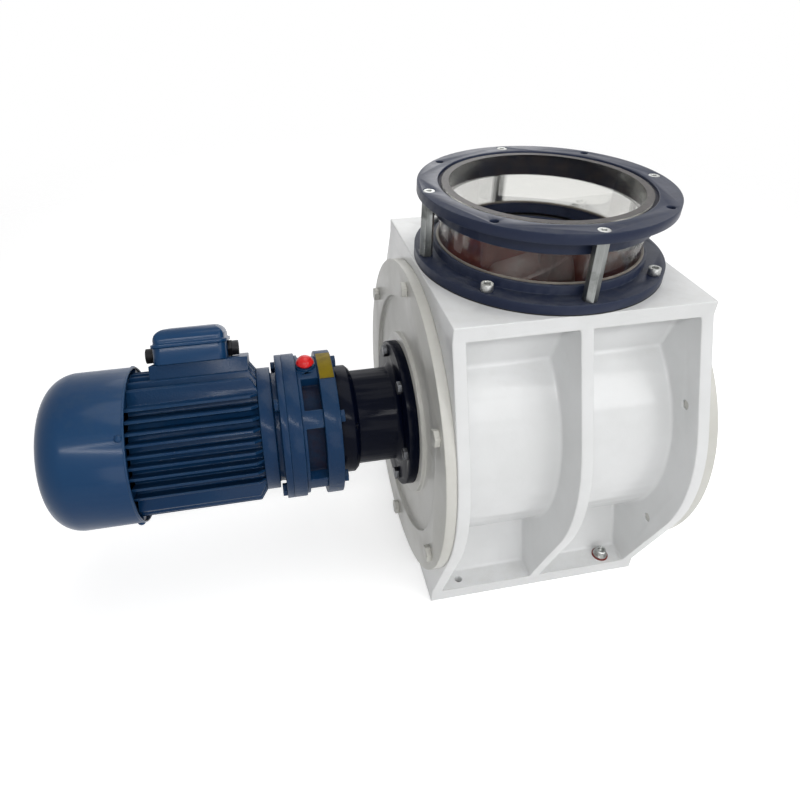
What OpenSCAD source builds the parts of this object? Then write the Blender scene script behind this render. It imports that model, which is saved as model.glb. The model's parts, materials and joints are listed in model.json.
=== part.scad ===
// Rotary airlock valve with sight glass and cycloid gearmotor.
// The rotor turns about X, the gearmotor stands out toward -X and the outlet
// flange lies on z = 0 with its centre at the origin.

/* [Valve body] */
// How far the body stands out past the sight glass rings at each end
ring_end_gap = 1; // [0.5:0.5:12]
// Clear diameter of the round inlet and outlet
inlet_d = 200; // [180:1:216]
// Border of the square flanges outside the inlet
flange_border = 38; // [34:0.5:46]
// Thickness of the inlet and outlet flanges
flange_t = 17; // [12:0.5:20]
// Bore that the rotor turns in, diameter
bore_d = 284; // [264:1:300]
// Wall of the barrel
barrel_wall = 13; // [9:0.5:16]
// Outer radius of the ribs and end plates
rib_r = 198; // [188:1:214]
// Thickness of the ribs and end plates
rib_t = 14; // [10:0.5:18]
// Height of each flange face above the round ribs
flange_rise = 10; // [6:0.5:24]
// Width of the flange ledge outside the neck
ledge_w = 27; // [24:0.5:32]
// How far each side of the neck leans in on its way to the barrel
neck_lean = 26; // [16:0.5:34]
// Depth of the leaning part of the neck below the inlet face
neck_depth = 96; // [80:1:108]
// Thickness of the neck wall
neck_wall = 12; // [8:0.5:15]
// Hole diameter in the outlet flange
outlet_hole_d = 9; // [7:0.5:13]
// Distance of the outlet holes from the flange ends along the rotor axis
outlet_edge_x = 40; // [34:0.5:46]
// Distance of the outlet holes from the flange edges across the rotor axis
outlet_edge_y = 14; // [12:0.5:15]

/* [End covers] */
// How far the rim of a cover stands back from the ribs
cover_margin = 2; // [0.5:0.5:6]
// Thickness of the end covers
cover_t = 12; // [10:0.5:16]
// Depth of the spigot that centres each cover in the bore
spigot_len = 8; // [5:0.5:10]
// Distance of the cover bolts from the rim
cover_bolt_inset = 18; // [14:0.5:20]
// Distance of the shallow recess from the cover bolts
recess_gap = 28; // [20:0.5:40]
// Width of the raised land round the drive flange
land_w = 11; // [6:0.5:16]
// Depth of the shallow recess in the cover face
recess_t = 5; // [2:0.5:6]

/* [Rotor] */
// Number of vanes
vane_count = 8; // [6:1:10]
// Thickness of a vane
vane_t = 7; // [5:0.5:9]
// Gap between the vane tips and the bore
tip_gap = 0.3; // [0.2:0.05:0.5]
// Gap between the vanes and each cover
end_gap = 0.5; // [0.3:0.05:1]
// Radius of the bearing journals
journal_r = 20; // [17.5:0.5:22.5]
// Height of the shaft shoulder behind each bearing
shoulder_h = 5; // [4:0.5:5.5]
// Wall of the hub tube that carries the vanes
hub_wall = 9; // [6:0.5:14]

/* [Sight glass] */
// Border of the two ring flanges outside the inlet
ring_border = 39; // [38:0.5:44]
// Thickness of each ring flange
ring_t = 11; // [9:0.5:14]
// Distance between the two ring flanges
ring_gap = 63; // [50:1:90]
// Distance of the ring fixings from the rim
ring_bolt_inset = 9; // [8:0.5:10]
// How far the glass stands outside the inlet
glass_step = 12; // [10:0.5:13]
// Wall of the glass tube
glass_t = 8; // [5:0.5:10]
// Gap between the glass and the upper ring
glass_gap = 4; // [3:0.5:5]
// Height of the collar on the lower ring that holds the foot of the glass
foot_collar_h = 10; // [6:0.5:16]
// Height of the collar that hangs under the upper ring round the glass
head_collar_h = 18; // [8:0.5:24]
// Width across the flats of a standoff
standoff_af = 13; // [11:0.5:14]

/* [Coupling] */
// Radius of the jaw coupling
coupling_r = 44; // [38:0.5:48]
// Length of a coupling hub behind its jaws
hub_len = 15; // [12:0.5:20]
// Length of a coupling jaw
jaw_len = 12; // [10:0.5:16]
// Wall of the adapter tube
adapter_wall = 7.5; // [6:0.25:9]
// Width of the adapter flange outside the tube
adapter_border = 33; // [30:0.5:38]

/* [Gearbox] */
// Length of the gearbox front housing
gear_front_len = 19; // [17:0.5:26]
// Length of the ring case that holds the cycloid discs
ring_case_len = 25; // [23:0.5:32]
// Length of the gearbox rear housing
gear_rear_len = 16; // [14:0.5:30]
// Number of lobes on a cycloid disc, which is also the reduction ratio
lobes = 29; // [23:2:31]
// Offset of the eccentric from the motor axis
eccentricity = 1.2; // [1:0.05:1.3]
// Radius of the ring pin circle
pin_circle_r = 59; // [56:0.5:64]
// Radius of a ring pin
pin_r = 3; // [2.7:0.1:3.2]
// Working gap between disc flank and ring pins
flank_gap = 0.2; // [0.15:0.05:0.25]
// Wall of the ring case between its pins and its rim pockets
case_wall = 13; // [10:0.5:14]

/* [Motor] */
// Length of the drive end shield
shield_len = 31; // [28:0.5:40]
// Length of the finned motor frame
frame_len = 146; // [130:1:190]
// Radius over the motor fins
fin_r = 86; // [80:0.5:94]
// Spacing of the motor fins
fin_pitch = 12.5; // [11:0.5:14]
// Thickness of a motor fin
fin_t = 3.2; // [2.5:0.1:4]
// Air gap between the fins and the fan cowl
cowl_gap = 5.2; // [4:0.2:9]
// Length of the fan cowl beyond the motor frame
cowl_len = 99; // [92:1:130]
// Corner radius of the domed cowl end
cowl_corner = 36; // [28:1:60]
// Tilt of the terminal box behind the vertical
box_tilt = 30; // [0:30:60]
// Length of the terminal box along the motor
box_len = 84; // [74:1:96]
// Width of the terminal box
box_w = 78; // [70:1:84]
// Height of the terminal box below its lid
box_h = 20; // [18:0.5:30]
// Height of the terminal box lid
lid_h = 21; // [18:0.5:26]

/* [Hidden] */
$fn = 96;

// how far a cut runs past the surface it opens
over = 1;
// radial clearance of a bolt in its hole, and of a press or slide fit
bolt_play = 0.5;
fit_play = 0.05;
// closer clearance of the ring screws that centre the lower ring
close_play = 0.2;
// thread diameters
cover_bolt_d = 10;
ring_screw_d = 8;
adapter_bolt_d = 8;
gear_bolt_d = 8;
cap_screw_d = 6;
small_screw_d = 4;
cowl_screw_d = 4;
// screw end to hole bottom, and least metal under a blind hole
end_room = 2;

// valve body
inlet_r = inlet_d / 2;
ring_r = inlet_r + ring_border;
body_len = 2 * (ring_r + ring_end_gap);
flange_w = inlet_d + 2 * flange_border;
axis_z = rib_r + flange_rise;
body_h = 2 * axis_z;
bore_r = bore_d / 2;
barrel_r = bore_r + barrel_wall;
rib_corner = [flange_w / 2, axis_z - flange_t];
rib_tangent_a = atan2(rib_corner.x, rib_corner.y) + acos(rib_r / norm(rib_corner));
rib_tangent = rib_r * [sin(rib_tangent_a), cos(rib_tangent_a)];
neck_top_y = flange_w / 2 - ledge_w;
neck_y = neck_top_y - neck_lean;
neck_z = axis_z - neck_depth;

// end covers and rotor, as distances from the middle of the body
cover_in = body_len / 2;
cover_face = cover_in + cover_t;
cover_r = rib_r - cover_margin;
cover_bolt_r = cover_r - cover_bolt_inset;
cover_head_h = 0.64 * cover_bolt_d;
spigot_end = cover_in - spigot_len;
vane_end = spigot_end - end_gap;
shaft_r = journal_r + shoulder_h;
hub_r = shaft_r + hub_wall;
bearing_r = 2 * journal_r;
bearing_w = 0.9 * journal_r;
bearing_mid_r = 1.32 * journal_r;
bearing_gap = 0.08;
bearing_wall = 9;
bearing_in = cover_face + 3;
bearing_out = bearing_in + bearing_w;
boss_end = bearing_out + 2;
boss_r = bearing_r + bearing_wall;
seal_r = shaft_r + 10;
seal_w = 10;
far_boss_r = bearing_r + 22;
far_cap_t = 8;
cap_screw_r = (bearing_r + far_boss_r) / 2 + 1;
cap_screw_len = far_cap_t + 14;

// sight glass, as heights
gasket_t = 1;
ring_bolt_r = ring_r - ring_bolt_inset;
lower_ring_z = body_h + gasket_t;
lower_ring_top = lower_ring_z + ring_t;
upper_ring_z = lower_ring_top + ring_gap;
upper_ring_top = upper_ring_z + ring_t;
glass_r = inlet_r + glass_step;
glass_seat = 5;
glass_z = lower_ring_top - glass_seat + gasket_t;
upper_bore_r = glass_r + glass_gap;
sunk_head_r = 0.8 * ring_screw_d;
sunk_head_h = 4;
collar_wall = 5;
standoff_tap = 15;

// coupling, as distances from the middle of the body toward the motor
jaw_a = 45;
jaw_gap = 1;
spider_core_r = journal_r + 1;
driven_in = boss_end + 2;
jaw_in = driven_in + hub_len;
jaw_out = jaw_in + jaw_len;
driving_in = jaw_out + jaw_gap;
driving_out = driving_in + hub_len;
shaft_tip = jaw_in - 1;
output_r = 15;
output_tip = driving_in + 1;
key_w = 10;
key_h = 8;

// adapter
snout_len = 9;
adapter_bore_r = max(boss_r, coupling_r) + 2.5;
adapter_tube_r = adapter_bore_r + adapter_wall;
adapter_end = driving_out + snout_len + 11;
adapter_flange_t = 12;
adapter_flange_r = adapter_tube_r + adapter_border;
adapter_bolt_r = adapter_tube_r + 0.63 * adapter_border;
adapter_chamfer = 5;
recess_in_r = adapter_flange_r + land_w;
recess_out_r = cover_bolt_r - recess_gap;

// gearbox
front_in = adapter_end;
ring_in = front_in + gear_front_len;
rear_in = ring_in + ring_case_len;
shield_in = rear_in + gear_rear_len;
disc_gap = 2;
disc_room = 5;
disc_t = (ring_case_len - 2 * disc_room - disc_gap) / 2;
disc_a_in = ring_in + disc_room;
disc_b_in = disc_a_in + disc_t + disc_gap;
disc_out = disc_b_in + disc_t;
ring_pin_count = lobes + 1;
motor_shaft_r = 12;
sleeve_r = 18;
disc_bore_r = 26;
disc_root_r = pin_circle_r - eccentricity - pin_r - flank_gap;
roller_count = 6;
roller_r = 6;
roller_pin_r = 4;
roller_circle_r = (disc_bore_r + disc_root_r) / 2;
roller_gap = 0.15;
output_flange_r = roller_circle_r + roller_r + 1;
output_flange_t = 4;
output_bearing_r = 31;
output_bearing_w = gear_front_len - 5;
output_seal_r = 24;
snout_r = 40;
case_wall_r = pin_circle_r + case_wall;
gear_bolt_r = case_wall_r + 7.5;
gear_bolt_a = -18;
shield_bolt_a = gear_bolt_a + 75;
gear_head_h = 0.66 * gear_bolt_d;
gear_r = gear_bolt_r + 9.5;
small_flange_t = 23;
small_flange_r = gear_bolt_r - 12;
small_bolt_r = small_flange_r - 4.7;
small_bolt_grip = 9;
small_head_r = 0.86 * small_screw_d;
vent_a = 90;
vent_z = ring_in + ring_case_len / 2 + 1;
vent_pad_r = 11;
vent_stem_r = 5;

// motor
frame_in = shield_in + shield_len;
frame_out = frame_in + frame_len;
shield_rim_t = 8;
shield_groove = 7;
shield_r = fin_r - 11;
frame_core_r = fin_r - 20;
frame_bore_r = frame_core_r - 8;
frame_lip = 5;
stator_bore_r = frame_bore_r - 17;
rotor_core_r = stator_bore_r - 0.5;
core_margin = 22;
winding_len = 9;
motor_bearing_r = 26;
motor_bearing_w = 14;
cowl_wall = 1.8;
cowl_in_r = fin_r + cowl_gap;
cowl_r = cowl_in_r + cowl_wall;
cowl_in = frame_out - 2;
cowl_out = frame_out + cowl_len;
fan_shield_t = 8;
fan_in = frame_out + 26;
fan_len = 24;
fan_tip_r = cowl_r - 16;
cowl_screw_tap = 15;
fan_shield_arm = 14;
fin_slope = 8;
box_foot = fin_r + 8;
box_top = box_foot + box_h;
box_wall = 4;
box_corner = 10;
box_in = frame_in + (frame_len - box_len) / 2;
box_mid = box_in + box_len / 2;
gland_r = 9;
gland_drop = box_h / 2;

// A point in the section of the drive line: x faces front, y faces up and
// z runs from the middle of the body toward the motor.
module drive() {
    translate([0, 0, axis_z]) rotate([90, 0, -90]) children();
}

// The same for the end away from the motor
module far() {
    translate([0, 0, axis_z]) rotate([90, 0, 90]) children();
}

// Tube from height z0 to z1
module tube(r_out, r_in, z0, z1) {
    difference() {
        translate([0, 0, z0]) cylinder(r = r_out, h = z1 - z0);
        translate([0, 0, z0 - over]) cylinder(r = r_in, h = z1 - z0 + 2 * over);
    }
}

// Solid disc or rod from height z0 to z1
module rod(r, z0, z1) {
    translate([0, 0, z0]) cylinder(r = r, h = z1 - z0);
}

// Cone or chamfer from radius r0 at height z0 to radius r1 at height z1
module cone(r0, r1, z0, z1) {
    translate([0, 0, z0]) cylinder(r1 = r0, r2 = r1, h = z1 - z0);
}

// Children copied round the axis
module round_copies(n, r, a0 = 0) {
    for (i = [0:n - 1]) rotate([0, 0, a0 + i * 360 / n]) translate([r, 0, 0]) children();
}

// Hexagon head bolt standing on z = 0 with its shank going down
module hex_bolt(d, len, head_h) {
    cylinder(r = 0.98 * d, h = head_h, $fn = 6);
    rod(d / 2, -len, 0);
}

// Socket head cap screw standing on z = 0 with its shank going down
module cap_screw(d, len) {
    difference() {
        cylinder(r = 0.8 * d, h = d);
        translate([0, 0, d / 2]) cylinder(r = 0.48 * d, h = d, $fn = 6);
    }
    rod(d / 2, -len, 0);
}

// Clearance hole and tapped hole for a thread diameter
module bolt_hole(d, z0, z1) {
    rod(d / 2 + bolt_play, z0, z1);
}

module tapped_hole(d, z0, z1) {
    rod(d / 2 + fit_play, z0, z1);
}

// ---- valve body ----

// Outline of an end plate or rib: a round belly blended into both flanges
module rib_outline() {
    circle(r = rib_r);
    for (side = [0, 1]) mirror([0, side]) polygon([
        [0, 0], rib_tangent, rib_corner,
        [-rib_corner.x, rib_corner.y], [-rib_tangent.x, rib_tangent.y]
    ]);
}

// Upper section of the neck from the axis to height top, drawn inset by the
// wall for the product way inside it
module neck_section(inset, top) {
    slope = neck_lean / (neck_depth - flange_t);
    half = neck_y - inset;
    half_top = half + slope * (top - neck_z);
    polygon([
        [half, 0], [half, neck_z], [half_top, top],
        [-half_top, top], [-half, neck_z], [-half, 0]
    ]);
}

// Section drawn across the rotor axis, made len long about the middle
module along_body(len) {
    translate([len / 2, 0, axis_z]) rotate([90, 0, -90]) linear_extrude(len) children();
}

// Product way from a round flange opening into the barrel
module throat() {
    intersection() {
        along_body(body_len) neck_section(neck_wall, axis_z + over);
        rod(inlet_r, axis_z, body_h + over);
    }
}

// Children at the inlet end and mirrored at the outlet end
module both_ends() {
    children();
    translate([0, 0, body_h]) mirror([0, 0, 1]) children();
}

module valve_body() color("whitesmoke") {
    rib_x = cover_in - rib_t / 2;
    difference() {
        union() {
            along_body(body_len) circle(r = barrel_r);
            for (x = [-rib_x, 0, rib_x]) translate([x, 0, 0]) along_body(rib_t) rib_outline();
            both_ends() {
                along_body(body_len) neck_section(0, axis_z - flange_t / 2);
                translate([-cover_in, -flange_w / 2, body_h - flange_t])
                    cube([body_len, flange_w, flange_t]);
            }
        }
        along_body(body_len + 2 * over) circle(r = bore_r);
        both_ends() throat();
        outlet_holes();
        ring_fixings() tapped_hole(ring_screw_d, body_h - flange_t - over, body_h + over);
        for (side = [0, 1]) mirror([side, 0, 0]) drive() round_copies(6, cover_bolt_r, 30)
            tapped_hole(cover_bolt_d, cover_in - rib_t - over, cover_in + over);
    }
}

module outlet_holes() {
    x = cover_in - outlet_edge_x;
    y = flange_w / 2 - outlet_edge_y;
    for (place = [[x, y], [-x, y], [x, -y], [-x, -y]])
        translate([place.x, place.y, -over]) cylinder(d = outlet_hole_d, h = flange_t + 2 * over);
}

// ---- end covers ----

// Round plate with its spigot, bolt holes and shallow recess
module cover_blank() {
    difference() {
        union() {
            rod(cover_r, cover_in, cover_face);
            rod(bore_r - fit_play, spigot_end, cover_in);
        }
        tube(recess_out_r, recess_in_r, cover_face - recess_t, cover_face + over);
        round_copies(6, cover_bolt_r, 30) bolt_hole(cover_bolt_d, cover_in - over, cover_face + over);
    }
}

// Stepped bore for the seal, the shaft and its bearing
module bearing_bore() {
    rod(seal_r + fit_play, spigot_end - over, spigot_end + seal_w + end_room);
    rod(shaft_r + 2, spigot_end, bearing_in + over);
    rod(bearing_r + fit_play, bearing_in, boss_end + over);
}

module drive_end_cover() color("gainsboro") drive() {
    difference() {
        union() {
            cover_blank();
            rod(boss_r, cover_in, boss_end);
        }
        bearing_bore();
        round_copies(6, adapter_bolt_r) tapped_hole(adapter_bolt_d, cover_in + over, cover_face + over);
    }
}

module far_end_cover() color("gainsboro") far() {
    difference() {
        union() {
            cover_blank();
            rod(far_boss_r, cover_in, boss_end);
        }
        bearing_bore();
        round_copies(6, cap_screw_r)
            tapped_hole(cap_screw_d, boss_end + far_cap_t - cap_screw_len - end_room, boss_end + over);
    }
}

module cover_bolt_set() {
    round_copies(6, cover_bolt_r, 30) translate([0, 0, cover_face])
        hex_bolt(cover_bolt_d, cover_t + rib_t - end_room, cover_head_h);
}

module drive_cover_bolts() color("white") drive() cover_bolt_set();

module far_cover_bolts() color("white") far() cover_bolt_set();

module far_bearing_cap() color("gainsboro") far() {
    cap_end = boss_end + far_cap_t;
    difference() {
        rod(far_boss_r, boss_end, cap_end);
        rod(journal_r + 4, boss_end - over, boss_end + far_cap_t / 2);
        round_copies(6, cap_screw_r) bolt_hole(cap_screw_d, boss_end - over, cap_end + over);
    }
}

module bearing_cap_screws() color("silver") far() {
    round_copies(6, cap_screw_r) translate([0, 0, boss_end + far_cap_t])
        cap_screw(cap_screw_d, cap_screw_len);
}

module bearing_outer() {
    tube(bearing_r, bearing_mid_r + bearing_gap, bearing_in, bearing_out);
}

module bearing_inner() {
    tube(bearing_mid_r, journal_r, bearing_in, bearing_out);
}

module drive_bearing_outer() color("silver") drive() bearing_outer();

module drive_bearing_inner() color("silver") drive() bearing_inner();

module far_bearing_outer() color("silver") far() bearing_outer();

module far_bearing_inner() color("silver") far() bearing_inner();

module shaft_seal() {
    tube(seal_r, shaft_r + fit_play, spigot_end + over, spigot_end + seal_w);
}

module drive_shaft_seal() color("dimgray") drive() shaft_seal();

module far_shaft_seal() color("dimgray") far() shaft_seal();

// ---- rotor ----

module rotor_vanes() color("silver") drive() {
    tip_r = bore_r - tip_gap;
    difference() {
        intersection() {
            union() {
                rod(hub_r, -vane_end, vane_end);
                round_copies(vane_count, 0)
                    translate([0, -vane_t / 2, -vane_end]) cube([tip_r + over, vane_t, 2 * vane_end]);
            }
            rod(tip_r, -vane_end, vane_end);
        }
        rod(shaft_r, -vane_end - over, vane_end + over);
    }
}

// Key or keyway on a shaft of radius r
module key(r, z0, z1) {
    translate([-key_w / 2, r - key_h / 2, z0]) cube([key_w, key_h, z1 - z0]);
}

module rotor_shaft() color("lightsteelblue") drive() {
    difference() {
        union() {
            rod(shaft_r, -bearing_in, bearing_in);
            rod(journal_r, -boss_end, shaft_tip);
        }
        key(journal_r, driven_in, shaft_tip + over);
    }
}

module shaft_keys() color("dimgray") drive() {
    key(journal_r, driven_in, shaft_tip - over);
    key(output_r, output_tip + over, driving_out);
}

// ---- sight glass ----

// Children at the four ring fixings between the standoffs
module ring_fixings() {
    round_copies(4, ring_bolt_r, 45) children();
}

// Children at the four standoffs
module standoff_places() {
    round_copies(4, ring_bolt_r) children();
}

module inlet_gasket() color("dimgray") {
    difference() {
        tube(ring_r, inlet_r, body_h, lower_ring_z);
        ring_fixings() rod(ring_screw_d / 2 + 2 * bolt_play, body_h - over, lower_ring_z + over);
    }
}

module lower_ring() color("#35466e") {
    collar_end = lower_ring_top + foot_collar_h;
    difference() {
        union() {
            rod(ring_r, lower_ring_z, lower_ring_top);
            rod(glass_r + bolt_play + collar_wall, lower_ring_z + over, collar_end);
        }
        rod(inlet_r, lower_ring_z - over, collar_end + over);
        rod(glass_r + bolt_play, lower_ring_top - glass_seat, collar_end + over);
        ring_fixings()
            rod(ring_screw_d / 2 + close_play, lower_ring_z - over, lower_ring_top + over);
        standoff_places() tapped_hole(ring_screw_d, lower_ring_z + over, lower_ring_top + over);
    }
}

module lower_ring_screws() color("silver") {
    ring_fixings() translate([0, 0, lower_ring_top])
        cap_screw(ring_screw_d, ring_t + gasket_t + flange_t - 2 * end_room);
}

module glass_seat_gasket() color("black") {
    tube(glass_r, glass_r - glass_t - over, glass_z - gasket_t, glass_z);
}

module sight_glass() color("lightblue", 0.4) {
    tube(glass_r, glass_r - glass_t, glass_z, upper_ring_top - 1);
}

module glass_packing() color("black") {
    tube(upper_bore_r - fit_play, glass_r + fit_play,
        upper_ring_z - head_collar_h + over, upper_ring_top - 3);
}

module upper_ring() color("#35466e") {
    collar_in = upper_ring_z - head_collar_h;
    difference() {
        union() {
            rod(ring_r, upper_ring_z, upper_ring_top);
            rod(upper_bore_r + collar_wall, collar_in, upper_ring_top - over);
        }
        rod(upper_bore_r, collar_in - over, upper_ring_top + over);
        ring_fixings() bolt_hole(ring_screw_d, upper_ring_z - over, upper_ring_top + over);
        standoff_places() {
            bolt_hole(ring_screw_d, upper_ring_z - over, upper_ring_top + over);
            rod(sunk_head_r, upper_ring_top - sunk_head_h, upper_ring_top + over);
        }
    }
}

module standoffs() color("silver") {
    standoff_places() {
        difference() {
            translate([0, 0, lower_ring_top])
                cylinder(r = standoff_af / sqrt(3), h = ring_gap, $fn = 6);
            tapped_hole(ring_screw_d, upper_ring_z - standoff_tap, upper_ring_z + over);
        }
        rod(ring_screw_d / 2, lower_ring_z + end_room, lower_ring_top);
    }
}

// Screws sunk flush into the upper ring
module standoff_screws() color("silver") {
    head_z = upper_ring_top - sunk_head_h;
    standoff_places() {
        difference() {
            rod(sunk_head_r - 0.2, head_z, upper_ring_top - 0.2);
            translate([0, 0, head_z + sunk_head_h / 3])
                cylinder(r = 0.38 * ring_screw_d, h = sunk_head_h, $fn = 6);
        }
        rod(ring_screw_d / 2, upper_ring_z - standoff_tap + end_room, head_z);
    }
}

// ---- adapter and coupling ----

module coupling_adapter() color("#1a2030") drive() {
    flange_end = cover_face + adapter_flange_t;
    small_in = adapter_end - small_flange_t;
    difference() {
        union() {
            rod(adapter_flange_r, cover_face, flange_end);
            rod(adapter_tube_r, cover_face, adapter_end);
            rod(small_flange_r, small_in + adapter_chamfer, adapter_end);
            cone(small_flange_r - adapter_chamfer, small_flange_r, small_in, small_in + adapter_chamfer);
            cone(adapter_tube_r + adapter_chamfer, adapter_tube_r,
                flange_end, flange_end + adapter_chamfer);
        }
        rod(adapter_bore_r, cover_face - over, adapter_end + over);
        round_copies(6, adapter_bolt_r) bolt_hole(adapter_bolt_d, cover_face - over, flange_end + over);
        round_copies(6, small_bolt_r, 30) {
            rod(small_screw_d / 2 + bolt_play / 2, small_in - over, adapter_end + over);
            rod(small_head_r, small_in - over, adapter_end - small_bolt_grip);
        }
    }
}

module adapter_bolts() color("silver") drive() {
    round_copies(6, adapter_bolt_r) translate([0, 0, cover_face + adapter_flange_t])
        hex_bolt(adapter_bolt_d, adapter_flange_t + cover_t - end_room - over, gear_head_h);
}

module adapter_screws() color("dimgray") drive() {
    round_copies(6, small_bolt_r, 30) translate([0, 0, adapter_end - small_bolt_grip])
        mirror([0, 0, 1]) cap_screw(small_screw_d, small_bolt_grip + 2 * small_screw_d);
}

// Three jaws of one coupling half, rooted in its hub and set in from its rim
module jaws(z0, z1, a0) {
    for (i = [0:2]) rotate([0, 0, a0 + i * 120 - jaw_a / 2]) translate([0, 0, z0])
        rotate_extrude(angle = jaw_a) translate([spider_core_r + over, 0])
            square([coupling_r - spider_core_r - 2 * over, z1 - z0]);
}

// Coupling hub with a keyed bore of radius r
module hub(r, z0, z1) {
    difference() {
        rod(coupling_r, z0, z1);
        rod(r, z0 - over, z1 + over);
        key(r, z0 - over, z1 + over);
    }
}

module driven_hub() color("dimgray") drive() {
    hub(journal_r, driven_in, jaw_in);
    jaws(jaw_in - over, jaw_out, 30);
}

module driving_hub() color("dimgray") drive() {
    hub(output_r, driving_in, driving_out);
    jaws(driving_in - jaw_len, driving_in + over, 90);
}

module coupling_spider() color("goldenrod") drive() {
    leg_a = 60 - jaw_a - 1;
    z0 = jaw_in + jaw_gap;
    z1 = driving_in - jaw_gap;
    tube(spider_core_r, spider_core_r / 2, z0, z1);
    for (i = [0:5]) rotate([0, 0, i * 60 - leg_a / 2]) translate([0, 0, z0])
        rotate_extrude(angle = leg_a) translate([spider_core_r - over, 0])
            square([coupling_r - spider_core_r, z1 - z0]);
}

// ---- cycloid gearbox ----

// Path of a ring pin's centre seen from the disc, at turn angle t
function pin_path(t) =
    pin_circle_r * [cos(t), sin(t)]
    - eccentricity * [cos(ring_pin_count * t), sin(ring_pin_count * t)];

// Direction of that path at turn angle t
function pin_heading(t) =
    let (v = pin_circle_r * [-sin(t), cos(t)]
        - eccentricity * ring_pin_count * [-sin(ring_pin_count * t), cos(ring_pin_count * t)])
    v / norm(v);

// Flank of the disc: the pin path moved inward by the pin and its gap
function flank(t) =
    let (h = pin_heading(t))
    pin_path(t) + (pin_r + flank_gap) * [-h.y, h.x];

flank_steps = 10 * lobes;

module disc_profile() {
    polygon([for (i = [0:flank_steps - 1]) flank(i * 360 / flank_steps)]);
}

// One disc on its eccentric; phase 0 leans to the front, 180 to the back
module cycloid_disc(z0, phase) {
    translate([eccentricity * cos(phase), 0, z0]) difference() {
        rotate([0, 0, -phase / lobes]) linear_extrude(disc_t) disc_profile();
        rod(disc_bore_r, -over, disc_t + over);
        round_copies(roller_count, roller_circle_r)
            rod(roller_r + eccentricity + roller_gap, -over, disc_t + over);
    }
}

module cycloid_disc_a() color("silver") drive() cycloid_disc(disc_a_in, 0);

module cycloid_disc_b() color("silver") drive() cycloid_disc(disc_b_in, 180);

module eccentric_sleeve() color("gray") drive() {
    middle = disc_b_in - disc_gap / 2;
    difference() {
        union() {
            translate([eccentricity, 0, 0]) rod(sleeve_r, disc_a_in, middle);
            translate([-eccentricity, 0, 0]) rod(sleeve_r, middle, disc_out);
        }
        rod(motor_shaft_r, disc_a_in - over, disc_out + over);
    }
}

// Rollers that carry each disc on the eccentric sleeve
module eccentric_rollers() color("silver") drive() {
    r = (disc_bore_r - fit_play - sleeve_r) / 2;
    for (row = [[eccentricity, disc_a_in], [-eccentricity, disc_b_in]])
        translate([row[0], 0, row[1]]) round_copies(14, sleeve_r + r) rod(r, 0, disc_t);
}

module ring_pins() color("silver") drive() {
    round_copies(ring_pin_count, pin_circle_r) rod(pin_r, ring_in + 0.5, rear_in - 0.5);
}

module output_shaft() color("lightsteelblue") drive() {
    flange_in = disc_a_in - output_flange_t - 0.5;
    difference() {
        union() {
            rod(output_r, output_tip, flange_in);
            rod(output_flange_r, flange_in, flange_in + output_flange_t);
            round_copies(roller_count, roller_circle_r) rod(roller_pin_r, flange_in, disc_out + 1);
        }
        key(output_r, output_tip - over, driving_out);
    }
}

module output_rollers() color("silver") drive() {
    round_copies(roller_count, roller_circle_r)
        tube(roller_r, roller_pin_r, disc_a_in - 0.2, disc_out + 0.5);
}

module output_seal() color("black") drive() {
    tube(output_seal_r, output_r + fit_play, front_in - snout_len + over, front_in - over);
}

module output_bearing() color("silver") drive() {
    tube(output_bearing_r, output_r + fit_play, front_in + 3, front_in + 3 + output_bearing_w);
}

// Children at the six gearbox bolts, and at the four motor flange bolts
module gear_bolt_places() {
    round_copies(6, gear_bolt_r, gear_bolt_a) children();
}

module shield_bolt_places() {
    round_copies(4, gear_bolt_r, shield_bolt_a) children();
}

module gearbox_front() color("#2b4a72") drive() {
    difference() {
        union() {
            rod(gear_r, front_in, ring_in);
            rod(snout_r, front_in - snout_len, front_in);
        }
        rod(output_r + 2, front_in - snout_len - over, ring_in + over);
        rod(output_seal_r + fit_play, front_in - snout_len - over, front_in - over / 2);
        rod(output_bearing_r + fit_play, front_in + 3, ring_in + over);
        rod(output_flange_r + 2, ring_in - 1.5, ring_in + over);
        gear_bolt_places() bolt_hole(gear_bolt_d, front_in - over, ring_in + over);
        round_copies(6, small_bolt_r, 30)
            tapped_hole(small_screw_d, front_in - over, front_in + 2 * small_screw_d + end_room);
    }
}

// Pocket in the rim of the ring case from angle a0 to a1
module rim_pocket(a0, a1) {
    rotate([0, 0, a0]) translate([0, 0, ring_in - over]) rotate_extrude(angle = a1 - a0)
        translate([case_wall_r, 0]) square([gear_r, ring_case_len - 4 + over]);
}

module ring_case() color("#2b4a72") drive() {
    boss_a = 7;
    difference() {
        union() {
            rod(gear_r - 3, ring_in, rear_in);
            rotate([0, 0, vent_a]) translate([case_wall_r, 0, vent_z]) rotate([0, 90, 0])
                cylinder(r = vent_pad_r, h = gear_r - case_wall_r);
        }
        rod(pin_circle_r, ring_in - over, rear_in + over);
        round_copies(ring_pin_count, pin_circle_r) rod(pin_r + fit_play, ring_in - over, rear_in + over);
        for (i = [0, 2, 3, 4, 5])
            rim_pocket(gear_bolt_a + i * 60 + boss_a, gear_bolt_a + (i + 1) * 60 - boss_a);
        rim_pocket(gear_bolt_a + 60 + boss_a, vent_a - 2 * boss_a);
        gear_bolt_places() bolt_hole(gear_bolt_d, ring_in - over, rear_in + over);
        rotate([0, 0, vent_a]) translate([0, 0, vent_z]) rotate([0, 90, 0])
            rod(vent_stem_r + fit_play, case_wall_r + end_room, gear_r + over);
    }
}

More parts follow.
